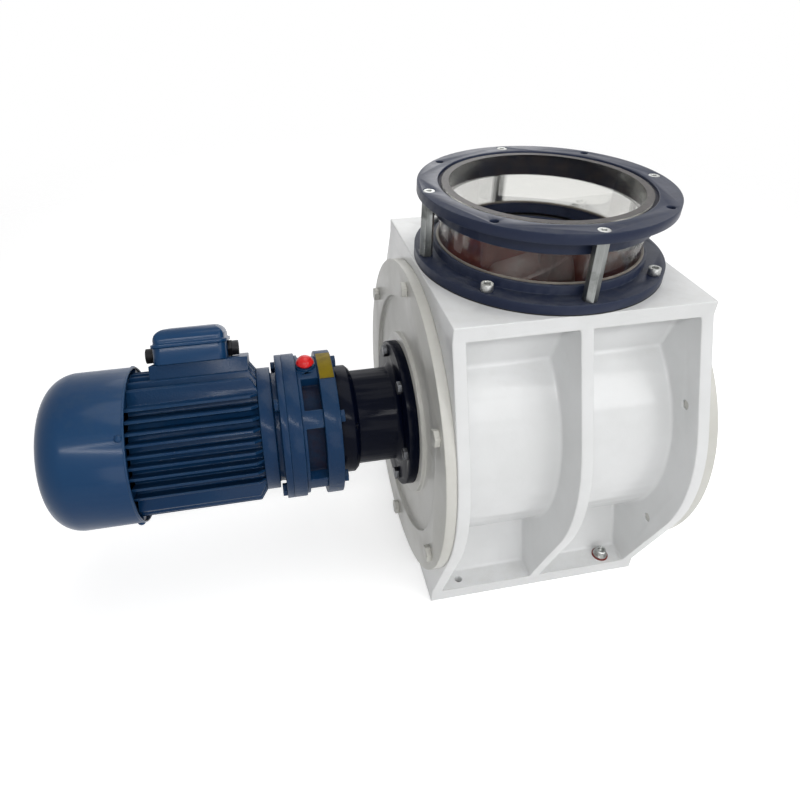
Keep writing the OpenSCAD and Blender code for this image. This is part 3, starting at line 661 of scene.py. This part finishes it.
@dataclass(frozen=True)
class ClearGlass(Finish):
    """Clear glass tube with ground ends, which lets the lamps through."""

    colour: Colour = (0.84, 0.84, 0.82)
    ground: Colour = (0.062, 0.054, 0.052)
    ground_tint: Colour = (0.030, 0.028, 0.030)
    gloss: float = 0.25
    clearness: float = 0.55
    index: float = 1.47
    ground_share: float = 0.85

    def build(self, graph: Graph) -> bpy.types.Material:
        """Makes the material in a graph.

        Args:
            graph: The material's graph, still empty.

        Returns:
            The material.
        """
        place = graph.place()
        up = abs(graph.axes(graph.facing())[2])
        film = graph.noise(place, 24.0, 4.0, 0.6)
        dust = graph.noise(place, 300.0, 3.0, 0.7)
        glass = graph.node(
            "ShaderNodeBsdfPrincipled",
            None,
            {
                "Base Color": self.colour,
                "Roughness": 0.015 + 0.05 * film.step(0.5, 0.75),
                "IOR": self.index,
                "Specular IOR Level": self.gloss,
                "Transmission Weight": 1.0,
                "Normal": graph.bump(film, 0.05, 0.4 * MM),
            },
        )
        clear = graph.node("ShaderNodeBsdfTransparent", None, {"Color": self.colour})
        shadow = Signal(graph, graph.node("ShaderNodeLightPath").outputs["Is Shadow Ray"])
        seen = graph.blend(shadow.most(self.clearness), glass.outputs[0], clear.outputs[0])
        end = graph.node(
            "ShaderNodeBsdfPrincipled",
            None,
            {
                "Base Color": graph.mix(dust.step(0.4, 0.7), self.ground, self.ground_tint),
                "Roughness": 0.55,
            },
        )
        ground = up.step(0.6, 0.8) * self.ground_share
        return graph.output(graph.blend(ground, seen, end.outputs[0]))


WHITE = BodyEnamel(
    "white_body_enamel",
    colour=(0.730, 0.737, 0.740),
    tint=(0.670, 0.678, 0.676),
    bare=(0.60, 0.59, 0.55),
    dust=(0.52, 0.50, 0.45),
    roughness=0.28,
    gloss=0.22,
    coat=0.50,
    peel=0.22,
    wear=0.25,
    dustiness=0.12,
    specks=0.7,
)
# Painted shade: a darker copy of the body white for the end covers, the bearing cap and the cover
# bolts, standing in for the shade that falls on them.
SHADED_COVER_WHITE = Enamel(
    "white_cover_enamel_painted_shade",
    colour=(0.620, 0.615, 0.580),
    tint=(0.530, 0.525, 0.485),
    bare=(0.50, 0.49, 0.44),
    dust=(0.48, 0.46, 0.41),
    roughness=0.30,
    gloss=0.22,
    coat=0.10,
    peel=0.25,
    wear=0.35,
    dustiness=0.12,
    specks=0.5,
)
NAVY = Enamel(
    "navy_ring_enamel",
    colour=(0.0130, 0.0190, 0.0440),
    tint=(0.0200, 0.0270, 0.0540),
    bare=(0.06, 0.075, 0.10),
    dust=(0.075, 0.078, 0.088),
    roughness=0.34,
    gloss=0.16,
    coat=0.04,
    peel=0.3,
    wear=0.5,
    dustiness=0.30,
)
BLACK = Enamel(
    "black_adapter_enamel",
    colour=(0.0010, 0.0022, 0.0085),
    tint=(0.0016, 0.0030, 0.0100),
    bare=(0.014, 0.017, 0.024),
    dust=(0.010, 0.012, 0.019),
    roughness=0.30,
    gloss=0.02,
    coat=0.08,
    peel=0.3,
    wear=0.4,
    dustiness=0.15,
)
CAST_BLUE = Enamel(
    "cast_blue_enamel",
    colour=(0.0030, 0.0235, 0.0720),
    tint=(0.0050, 0.0320, 0.0850),
    bare=(0.024, 0.060, 0.115),
    dust=(0.024, 0.045, 0.082),
    roughness=0.34,
    gloss=0.08,
    coat=0.12,
    peel=0.75,
    wear=0.6,
    dustiness=0.3,
)
# Painted shade: near-black colours on the floors of the ring case's pockets, where shade falls.
CASE_BLUE = PocketEnamel(
    **vars(CAST_BLUE)
    | {
        "name": "ring_case_enamel",
        "primer_and_shade": (0.008, 0.012, 0.024),
        "primer_and_shade_dark": (0.016, 0.008, 0.010),
    }
)
SHEET_BLUE = Enamel(
    "sheet_blue_enamel",
    colour=(0.0030, 0.0340, 0.1020),
    tint=(0.0050, 0.0400, 0.1100),
    bare=(0.024, 0.068, 0.135),
    dust=(0.024, 0.052, 0.095),
    roughness=0.30,
    gloss=0.10,
    coat=0.20,
    peel=0.2,
    wear=0.5,
    dustiness=0.25,
)
TURNED = BareMetal(
    "turned_steel",
    colour=(0.56, 0.56, 0.57),
    tarnish=(0.36, 0.34, 0.31),
    roughness=0.30,
    lay=Lay.TURNED_X,
    marks=0.5,
)
GROUND = BareMetal(
    "ground_steel",
    colour=(0.66, 0.66, 0.67),
    tarnish=(0.50, 0.49, 0.47),
    roughness=0.16,
    lay=Lay.NONE,
    marks=0.15,
)
ZINC = BareMetal(
    "zinc_plate",
    colour=(0.52, 0.53, 0.52),
    tarnish=(0.24, 0.24, 0.22),
    roughness=0.34,
    lay=Lay.NONE,
    marks=0.4,
    stain=0.7,
)
STUD = BareMetal(
    "drawn_stud",
    colour=(0.28, 0.29, 0.285),
    tarnish=(0.09, 0.095, 0.09),
    roughness=0.30,
    lay=Lay.DRAWN_Z,
    marks=0.7,
    stain=0.8,
)
IRON = BareMetal(
    "machined_iron",
    colour=(0.30, 0.30, 0.30),
    tarnish=(0.18, 0.16, 0.14),
    roughness=0.42,
    lay=Lay.TURNED_X,
    marks=0.6,
)
DARK = BareMetal(
    "blackened_steel",
    colour=(0.130, 0.135, 0.145),
    tarnish=(0.050, 0.050, 0.054),
    roughness=0.40,
    lay=Lay.NONE,
    marks=0.4,
)
RUBBER = Moulded(
    "black_rubber",
    colour=(0.014, 0.014, 0.014),
    tint=(0.030, 0.030, 0.028),
    roughness=0.55,
    coat=0.0,
    grain=0.3,
    gloss=0.2,
)
FIBRE = Moulded(
    "red_fibre",
    colour=(0.20, 0.030, 0.024),
    tint=(0.14, 0.022, 0.018),
    roughness=0.60,
    coat=0.0,
    grain=0.6,
    gloss=0.25,
)
PACKING = Moulded(
    "dark_packing",
    colour=(0.012, 0.014, 0.025),
    tint=(0.030, 0.026, 0.030),
    roughness=0.60,
    coat=0.0,
    grain=0.8,
    gloss=0.2,
)
URETHANE = Moulded(
    "coupling_urethane",
    colour=(0.62, 0.34, 0.04),
    tint=(0.55, 0.28, 0.03),
    roughness=0.35,
    coat=0.1,
)
RED = Moulded(
    "red_plug_plastic",
    colour=(0.72, 0.010, 0.012),
    tint=(0.60, 0.008, 0.010),
    roughness=0.26,
    coat=0.2,
    grain=0.2,
    gloss=0.25,
)
BLACK_PLASTIC = Moulded(
    "black_plastic",
    colour=(0.008, 0.008, 0.010),
    tint=(0.018, 0.018, 0.020),
    roughness=0.42,
    coat=0.0,
    grain=0.3,
    gloss=0.2,
)
SEALANT = Moulded(
    "clear_sealant",
    colour=(0.13, 0.115, 0.10),
    tint=(0.20, 0.18, 0.155),
    roughness=0.40,
    coat=0.0,
    grain=0.4,
    gloss=0.25,
)
YELLOW = Enamel(
    "yellow_tag_lacquer",
    colour=(0.26, 0.190, 0.004),
    tint=(0.12, 0.085, 0.004),
    bare=(0.12, 0.09, 0.04),
    dust=(0.05, 0.04, 0.02),
    roughness=0.36,
    gloss=0.06,
    coat=0.0,
    peel=0.3,
    wear=0.8,
    dustiness=0.3,
    edge=0.4 * MM,
)
STATOR_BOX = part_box("stator")
END_TURNS = 9.0 * MM  # how far the copper stands out at each end of the core
WINDING = Winding(
    "stator_winding",
    middle=(STATOR_BOX[0].x + STATOR_BOX[1].x) / 2.0,
    core_half=(STATOR_BOX[1].x - STATOR_BOX[0].x) / 2.0 - END_TURNS,
)
GLASS = ClearGlass("sight_glass")

# ---------------------------------------------------------------- edges of the castings


WELD_GAP = 0.002 * MM  # corners nearer than this are one corner
FLAT_LIMIT = math.radians(0.25)  # faces that differ by less are one flat
SHARP_LIMIT = math.radians(28.0)  # edges that turn by more are sharp


class EdgeTree(Tree):
    """Geometry nodes that shade a solid smoothly and find its sharp edges."""

    def __init__(self, name: str, limit: float) -> None:
        """Starts a group that takes a mesh and gives one.

        Args:
            name: Name of the group.
            limit: Angle above which an edge is sharp.
        """
        group = bpy.data.node_groups.new(name, "GeometryNodeTree")
        for way in ("INPUT", "OUTPUT"):
            group.interface.new_socket("Geometry", in_out=way, socket_type="NodeSocketGeometry")
        super().__init__(group)
        source = self.node("NodeGroupInput").outputs[0]
        smooth = self.node("GeometryNodeSetShadeSmooth", None, {"Geometry": source})
        self.smooth = smooth.outputs[0]
        self.angles = self.node("GeometryNodeInputMeshEdgeAngle").outputs
        self.sharp = self.compare("GREATER_THAN", "Unsigned Angle", limit)

    def compare(self, operation: str, angle: str, limit: float) -> bpy.types.NodeSocket:
        """Compares one of the edge angles with a limit."""
        sockets = {"A": self.angles[angle], "B": limit}
        return self.node("FunctionNodeCompare", {"operation": operation}, sockets).outputs[0]

    def close(self, geometry: bpy.types.NodeSocket) -> bpy.types.NodeTree:
        """Ends the group in this geometry and gives it."""
        self.node("NodeGroupOutput", None, {0: geometry})
        return self.tree


def join_edges(piece: bpy.types.Object, group: bpy.types.NodeTree, flatten: bool) -> None:
    """Welds the loose triangles of a CAD mesh and treats its edges with a node group.

    Args:
        piece: The piece.
        group: The node group.
        flatten: Also makes each flat one face, without which a wide rounding creases.
            On coupling_adapter, motor_frame and cable_glands it closes bores too.
    """
    weld = piece.modifiers.new("weld", "WELD")
    weld.merge_threshold = WELD_GAP
    if flatten:
        flat = piece.modifiers.new("flats", "DECIMATE")
        flat.decimate_type = "DISSOLVE"
        flat.angle_limit = FLAT_LIMIT
    marks = piece.modifiers.new("marks", "NODES")
    marks.node_group = group


@dataclass(frozen=True)
class Softening:
    """Rounds the edges of a solid without touching its mesh."""

    outer: float
    inner: float
    segments: int
    angle: float = SHARP_LIMIT

    def tree(self) -> bpy.types.NodeTree:
        """Marks each edge with its share of the rounding.

        Returns:
            The node group, made at the first call.
        """
        name = f"round_{self.outer / MM:.2f}_{self.inner / MM:.2f}"
        if name in bpy.data.node_groups:
            return bpy.data.node_groups[name]
        tree = EdgeTree(name, self.angle)
        widest = max(self.outer, self.inner)
        share = tree.node(
            "GeometryNodeSwitch",
            {"input_type": "FLOAT"},
            {
                "Switch": tree.compare("LESS_THAN", "Signed Angle", 0.0),
                "False": self.outer / widest,
                "True": self.inner / widest,
            },
        )
        store = tree.node(
            "GeometryNodeStoreNamedAttribute",
            {"data_type": "FLOAT", "domain": "EDGE"},
            {
                "Name": "bevel_weight_edge",
                "Geometry": tree.smooth,
                "Selection": tree.sharp,
                "Value": share.outputs[0],
            },
        )
        return tree.close(store.outputs[0])

    def apply(self, piece: bpy.types.Object) -> None:
        """Adds the rounding to a piece.

        Args:
            piece: The piece.
        """
        join_edges(piece, self.tree(), flatten=True)
        bevel = piece.modifiers.new("rounding", "BEVEL")
        bevel.width = max(self.outer, self.inner)
        bevel.segments = self.segments
        bevel.limit_method = "WEIGHT"
        bevel.use_clamp_overlap = False
        bevel.harden_normals = True


@dataclass(frozen=True)
class Smoothing:
    """Smooth shading between the edges of a solid, without rounding them."""

    angle: float = SHARP_LIMIT

    def tree(self) -> bpy.types.NodeTree:
        """Shades the curved faces smoothly.

        Returns:
            The node group, made at the first call.
        """
        name = "smooth_faces"
        if name in bpy.data.node_groups:
            return bpy.data.node_groups[name]
        tree = EdgeTree(name, self.angle)
        edges = tree.node(
            "GeometryNodeSetShadeSmooth",
            {"domain": "EDGE"},
            {"Geometry": tree.smooth, "Selection": tree.sharp, "Shade Smooth": False},
        )
        return tree.close(edges.outputs[0])

    def apply(self, piece: bpy.types.Object) -> None:
        """Adds the shading to a piece."""
        join_edges(piece, self.tree(), flatten=False)


CAST = Softening(outer=1.2 * MM, inner=4.0 * MM, segments=4)
CAST_SMALL = Softening(outer=0.8 * MM, inner=1.6 * MM, segments=3)
MACHINED = Softening(outer=0.5 * MM, inner=0.4 * MM, segments=2)
FASTENER = Softening(outer=0.5 * MM, inner=0.3 * MM, segments=2)
PLAIN = Smoothing()
Edging = Union[Softening, Smoothing]


def dress(nodes: Iterable[str], finish: Finish, edging: Edging = PLAIN) -> None:
    """Gives CAD nodes a finish and rounded or smooth edges.

    Args:
        nodes: Names of the nodes.
        finish: Their finish.
        edging: What is done to their edges.
    """
    for name in nodes:
        piece = frame["nodes"][name]
        if not piece.material_slots:
            piece.data.materials.append(None)
        for slot in piece.material_slots:
            slot.material = finish.material()
        edging.apply(piece)
        LOG.info("dressed %s in %s", name, finish.name)


# ---------------------------------------------------------------- new pieces


class Workpiece:
    """A new piece, shaped with mesh operators."""

    merge_gap: float = 1e-7
    crease: float = math.radians(32.0)
    bead_sides: int = 10
    bead_steps: int = 96

    def __init__(self, name: str) -> None:
        """Starts an empty piece of this name."""
        self.name = name
        self.bm = bmesh.new()

    def _since(self, count: int) -> list[bmesh.types.BMVert]:
        """Vertices made since there were count of them."""
        self.bm.verts.ensure_lookup_table()
        return self.bm.verts[count:]

    def turned(
        self,
        profile: Sequence[tuple[float, float]],
        steps: int,
        place: Optional[Matrix] = None,
        closed: bool = True,
    ) -> "Workpiece":
        """Turns a profile about the upright axis.

        Args:
            profile: Radius and height of each corner.
            steps: Number of steps of the full turn.
            place: Where the turned shape goes.
            closed: Joins the last corner to the first.

        Returns:
            This piece.
        """
        count = len(self.bm.verts)
        corners = [self.bm.verts.new((r, 0.0, z)) for r, z in profile]
        pairs = list(zip(corners, corners[1:]))
        if closed:
            pairs.append((corners[-1], corners[0]))
        edges = [self.bm.edges.new(pair) for pair in pairs]
        bmesh.ops.spin(
            self.bm,
            geom=corners + edges,
            axis=(0.0, 0.0, 1.0),
            cent=(0.0, 0.0, 0.0),
            angle=2.0 * math.pi,
            steps=steps,
            use_merge=True,
        )
        made = self._since(count)
        bmesh.ops.remove_doubles(self.bm, verts=made, dist=self.merge_gap)
        if place is not None:
            bmesh.ops.transform(self.bm, matrix=place, verts=self._since(count))
        return self

    def bead(
        self, radius: float, height: float, thick: float, place: Optional[Matrix] = None
    ) -> "Workpiece":
        """Adds a round bead on a circle about the upright axis.

        Args:
            radius: Radius of the circle.
            height: Height of the circle.
            thick: Radius of the bead.
            place: Where the bead goes.

        Returns:
            This piece.
        """
        turns = [math.radians(i * 360 // self.bead_sides) for i in range(self.bead_sides)]
        profile = [(radius + thick * math.cos(a), height + thick * math.sin(a)) for a in turns]
        return self.turned(profile, self.bead_steps, place)

    def finish(self, body: Body, finish: Finish, slot: str) -> None:
        """Ends the piece and puts it in the scene.

        Args:
            body: The body that it rides on.
            finish: Its finish.
            slot: Material slot of the record that it belongs to; not used.
        """
        bmesh.ops.remove_doubles(self.bm, verts=self.bm.verts, dist=self.merge_gap)
        bmesh.ops.recalc_face_normals(self.bm, faces=self.bm.faces)
        for face in self.bm.faces:
            face.smooth = True
        for edge in self.bm.edges:
            edge.smooth = not edge.is_manifold or edge.calc_face_angle(0.0) < self.crease
        mesh = bpy.data.meshes.new(self.name)
        self.bm.to_mesh(mesh)
        self.bm.free()
        piece = bpy.data.objects.new(self.name, mesh)
        bpy.context.scene.collection.objects.link(piece)
        mesh.materials.append(finish.material())
        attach(piece, body.value)
        LOG.info("made %s", self.name)


# ---------------------------------------------------------------- sub-assemblies


@dataclass
class ValveBody:
    """Ribbed body, its end covers and the bolts that hold them."""

    flange_thick: float = 17.0 * MM
    # Hole radius, rim radius and thickness of each ring under the screw's head.
    washer: tuple[float, float, float] = (4.3 * MM, 9.0 * MM, 1.6 * MM)
    seat: tuple[float, float, float] = (4.6 * MM, 10.4 * MM, 1.2 * MM)
    head_radius: float = 6.6 * MM
    head_height: float = 8.0 * MM
    head_chamfer: float = 0.8 * MM
    socket_radius: float = 3.7 * MM
    socket_chamfer: float = 0.4 * MM
    socket_depth: float = 0.55  # share of the head's height
    shank_radius: float = 3.95 * MM
    shank_end: float = 1.0 * MM  # height of its end above the floor
    washer_steps: int = 40
    screw_steps: int = 36

    def build(self) -> None:
        """Dresses the body and adds the screw left in its outlet flange."""
        dress(["valve_body"], WHITE, CAST)
        # The covers, the bearing cap and the cover bolts take the white with painted shade.
        dress(["drive_end_cover", "far_end_cover", "far_bearing_cap"], SHADED_COVER_WHITE, CAST_SMALL)
        dress(["drive_cover_bolts", "far_cover_bolts"], SHADED_COVER_WHITE, FASTENER)
        dress(["bearing_cap_screws"], ZINC, FASTENER)
        self.flange_screw()

    def flange_place(self) -> Place:
        """Finds the outlet flange's front hole away from the gearmotor.

        Returns:
            The middle of the hole, at the top of the flange.
        """
        mounts = frame["record"]["mounts"]
        dims = next(m["dims"] for m in mounts if m["name"] == "outlet_bolts")
        half_x, half_y = (dims[f"spacing_{a}_mm"] * MM / 2.0 for a in "xy")
        return (half_x, -half_y, self.flange_thick)

    def flange_screw(self) -> None:
        """Makes the socket head screw with its washer and its fibre seat."""
        spot = self.flange_place()
        place = Matrix.Translation(spot)
        foot = 0.0
        for name, ring, finish, slot in (
            ("flange_fibre_seat", self.seat, FIBRE, "red_plastic"),
            ("flange_washer", self.washer, ZINC, "zinc_steel"),
        ):
            hole, rim, thick = ring
            Workpiece(name).turned(
                [(hole, foot), (rim, foot), (rim, foot + thick), (hole, foot + thick)],
                self.washer_steps,
                place,
            ).finish(Body.HOUSING, finish, slot)
            foot += thick
        top = foot + self.head_height
        bottom = top - self.socket_depth * self.head_height
        end = self.shank_end - spot[2]
        Workpiece("flange_screw").turned(
            [
                (0.0, end),
                (self.shank_radius, end),
                (self.shank_radius, foot),
                (self.head_radius, foot),
                (self.head_radius, top - self.head_chamfer),
                (self.head_radius - self.head_chamfer, top),
                (self.socket_radius + self.socket_chamfer, top),
                (self.socket_radius, top - self.socket_chamfer),
                (self.socket_radius, bottom),
                (0.0, bottom),
            ],
            self.screw_steps,
            place,
            closed=False,
        ).finish(Body.HOUSING, ZINC, "zinc_steel")


@dataclass
class RotorSet:
    """Vaned rotor, its shaft, bearings and seals."""

    def build(self) -> None:
        """Dresses what turns in the body and what carries it."""
        dress(["rotor_vanes", "rotor_shaft"], TURNED)
        dress(["shaft_keys"], DARK)
        for end in ("drive", "far"):
            dress([f"{end}_bearing_outer", f"{end}_bearing_inner"], GROUND)
        dress(["drive_shaft_seal", "far_shaft_seal"], RUBBER)


@dataclass
class SightGlass:
    """Glass tube between two ring flanges."""

    bead_thick: float = 1.5 * MM
    bead_inset: float = 0.4 * MM

    def build(self) -> None:
        """Dresses the rings and the glass and adds the sealing bead."""
        dress(["lower_ring", "upper_ring"], NAVY, MACHINED)
        dress(["inlet_gasket", "glass_seat_gasket"], RUBBER)
        dress(["glass_packing"], PACKING)
        dress(["sight_glass"], GLASS)
        dress(["standoffs"], STUD, MACHINED)
        dress(["standoff_screws", "lower_ring_screws"], ZINC, FASTENER)
        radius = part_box("sight_glass")[1].x + self.bead_thick - self.bead_inset
        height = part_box("lower_ring")[1].z + self.bead_inset
        Workpiece("glass_sealing_bead").bead(radius, height, self.bead_thick).finish(
            Body.HOUSING, SEALANT, "clear_glass"
        )


@dataclass
class Coupling:
    """Adapter between body and gearbox, with the jaw coupling inside."""

    def build(self) -> None:
        """Dresses the adapter, its bolts and the coupling."""
        dress(["coupling_adapter"], BLACK, CAST_SMALL)
        dress(["adapter_bolts", "adapter_screws"], DARK, FASTENER)
        dress(["driven_hub", "driving_hub"], IRON)
        dress(["coupling_spider"], URETHANE)


@dataclass
class Gearbox:
    """Cycloid gearbox."""

    def build(self) -> None:
        """Dresses the gearbox and its discs, pins and rollers."""
        dress(["gearbox_front", "gearbox_rear"], CAST_BLUE, CAST_SMALL)
        dress(["ring_case"], CASE_BLUE, CAST_SMALL)
        dress(["gearbox_bolts", "shield_bolts"], CAST_BLUE, FASTENER)
        dress(["vent_plug"], RED, MACHINED)
        dress(["tag_plate"], YELLOW)
        dress(["output_shaft", "eccentric_sleeve"], TURNED)
        dress(["cycloid_disc_a", "cycloid_disc_b"], GROUND)
        dress(["ring_pins", "output_rollers", "eccentric_rollers", "output_bearing"], GROUND)
        dress(["output_seal", "input_seal"], RUBBER)


@dataclass
class Motor:
    """Finned motor with its fan, cowl and terminal box."""

    rim_thick: float = 1.1 * MM
    rim_set_back: float = 1.8 * MM
    rim_sunk: float = 0.7  # share of its thickness that lies inside the cowl's outline

    def build(self) -> None:
        """Dresses the motor and adds the rolled rim of its cowl."""
        dress(["drive_shield", "motor_frame", "fan_shield"], CAST_BLUE, CAST_SMALL)
        dress(["fan_cowl"], SHEET_BLUE, MACHINED)
        dress(["terminal_box", "terminal_lid"], SHEET_BLUE, CAST_SMALL)
        dress(["cable_glands", "cooling_fan"], BLACK_PLASTIC, MACHINED)
        dress(["cowl_screws"], SHEET_BLUE, FASTENER)
        dress(["motor_shaft"], TURNED)
        dress(["motor_bearings"], GROUND)
        dress(["stator"], WINDING)
        low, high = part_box("fan_cowl")
        radius = (high.y - low.y) / 2.0 - self.rim_sunk * self.rim_thick
        middle = (high.x - self.rim_set_back, 0.0, (low.z + high.z) / 2.0)
        along = Matrix.Translation(middle) @ Matrix.Rotation(math.radians(90.0), 4, "Y")
        Workpiece("cowl_rolled_rim").bead(radius, 0.0, self.rim_thick, along).finish(
            Body.HOUSING, SHEET_BLUE, "blue_sheet"
        )


# ---------------------------------------------------------------- studio


@dataclass(frozen=True)
class Softbox:
    """An area lamp, square unless it has a height."""

    name: str
    place: Place
    aim: Place
    size: float
    power: float
    height: Optional[float] = None

    def build(self) -> None:
        """Puts the lamp in the scene."""
        data = bpy.data.lights.new(self.name, "AREA")
        data.shape = "RECTANGLE"
        data.size = self.size
        data.size_y = self.height or self.size
        data.energy = self.power
        lamp = bpy.data.objects.new(self.name, data)
        lamp.location = self.place
        away = Vector(self.place) - Vector(self.aim)
        lamp.rotation_euler = away.to_track_quat("Z", "Y").to_euler()
        bpy.context.scene.collection.objects.link(lamp)


@dataclass
class Studio:
    """Pale floor, white surroundings, soft lamps and the camera."""

    azimuth: float = -10.99
    elevation: float = 32.61
    eye: Place = (-0.31136, -0.61749, 0.73185)
    lens: float = 28.424
    shift: tuple[float, float] = (0.03529, -0.08155)
    fill: float = 0.22
    floor_tone: float = 0.80
    floor_top_up: float = 0.50
    floor_inner: float = 0.9
    floor_outer: float = 2.2
    floor_margin: float = 0.1
    floor_shift: float = 0.15  # towards the motor
    floor_gap: float = 0.5 * MM
    sensor: float = 36.0
    lamps: list[Softbox] = field(
        default_factory=lambda: [
            Softbox("key_lamp", (1.25, -1.75, 1.55), (0.0, 0.0, 0.22), size=1.3, power=18.0),
            Softbox("top_lamp", (0.2, 0.3, 2.3), (0.0, 0.0, 0.2), size=1.6, power=17.0),
            Softbox("front_lamp", (0.0, -2.0, 0.55), (0.0, 0.0, 0.2), size=0.9, power=5.0),
            Softbox(
                "strip_lamp",
                (-0.50, -1.35, 1.42),
                (-0.30, 0.0, 0.2),
                size=1.3,
                power=11.0,
                height=0.14,
            ),
            Softbox("back_lamp", (0.2, 2.1, 1.1), (-0.1, 0.0, 0.2), size=1.5, power=12.0),
        ]
    )

    def build(self) -> None:
        """Sets the scene up."""
        bpy.context.scene.view_settings.view_transform = "Standard"
        self.surroundings()
        self.floor()
        for lamp in self.lamps:
            lamp.build()
        self.camera()

    def surroundings(self) -> None:
        """Makes the world white to look at and softer as a light."""
        world = bpy.data.worlds.new("studio")
        bpy.context.scene.world = world
        graph = Graph(world)
        strength = graph.seen() * (1.0 - self.fill) + self.fill
        back = graph.node(
            "ShaderNodeBackground", None, {"Color": (1.0, 1.0, 1.0), "Strength": strength}
        )
        graph.output(back.outputs[0])

    def floor(self) -> None:
        """Makes the pale floor, which fades into the surroundings."""
        bm = bmesh.new()
        bmesh.ops.create_circle(bm, cap_ends=True, segments=96, radius=self.floor_outer)
        bmesh.ops.translate(bm, vec=(-self.floor_shift, 0.0, -self.floor_gap), verts=bm.verts)
        mesh = bpy.data.meshes.new("studio_floor")
        bm.to_mesh(mesh)
        bm.free()
        piece = bpy.data.objects.new("studio_floor", mesh)
        bpy.context.scene.collection.objects.link(piece)
        mesh.materials.append(self.floor_material())

    def floor_material(self) -> bpy.types.Material:
        """Makes a pale floor that reads white to the camera and keeps its shadow.

        Returns:
            The material.
        """
        graph = Graph(bpy.data.materials.new("studio_floor"))
        x, y, _ = graph.axes(graph.place())
        x = x + self.floor_shift
        out = (x * x + y * y).root()
        seen = graph.seen()
        tone = (self.floor_tone,) * 3
        pale = graph.node("ShaderNodeBsdfDiffuse", None, {"Color": tone})
        glow = graph.node("ShaderNodeEmission", None, {"Strength": seen * self.floor_top_up})
        lit = graph.node("ShaderNodeAddShader", None, {0: pale.outputs[0], 1: glow.outputs[0]})
        clear = graph.node("ShaderNodeBsdfTransparent")
        fade = out.step(self.floor_inner, self.floor_outer - self.floor_margin)
        return graph.output(graph.blend(fade, lit.outputs[0], clear.outputs[0]))

    def camera(self) -> None:
        """Makes the camera."""
        data = bpy.data.cameras.new("camera")
        data.sensor_width = self.sensor
        data.lens = self.lens
        data.shift_x, data.shift_y = self.shift
        data.clip_start = 0.01
        camera = bpy.data.objects.new("camera", data)
        a, e = math.radians(self.azimuth), math.radians(self.elevation)
        back = Vector((math.sin(a) * math.cos(e), -math.cos(a) * math.cos(e), math.sin(e)))
        right = Vector((math.cos(a), math.sin(a), 0.0))
        up = back.cross(right)
        turn = Matrix((right, up, back)).transposed()
        camera.location = self.eye
        camera.rotation_euler = turn.to_euler()
        bpy.context.scene.collection.objects.link(camera)
        bpy.context.scene.camera = camera


def main() -> None:
    """Builds the sub-assemblies in order."""
    logging.basicConfig(level=logging.INFO, format="%(message)s")
    for part in (Studio(), ValveBody(), RotorSet(), SightGlass(), Coupling(), Gearbox(), Motor()):
        LOG.info("building %s", type(part).__name__)
        part.build()


if __name__ == "__main__":
    main()
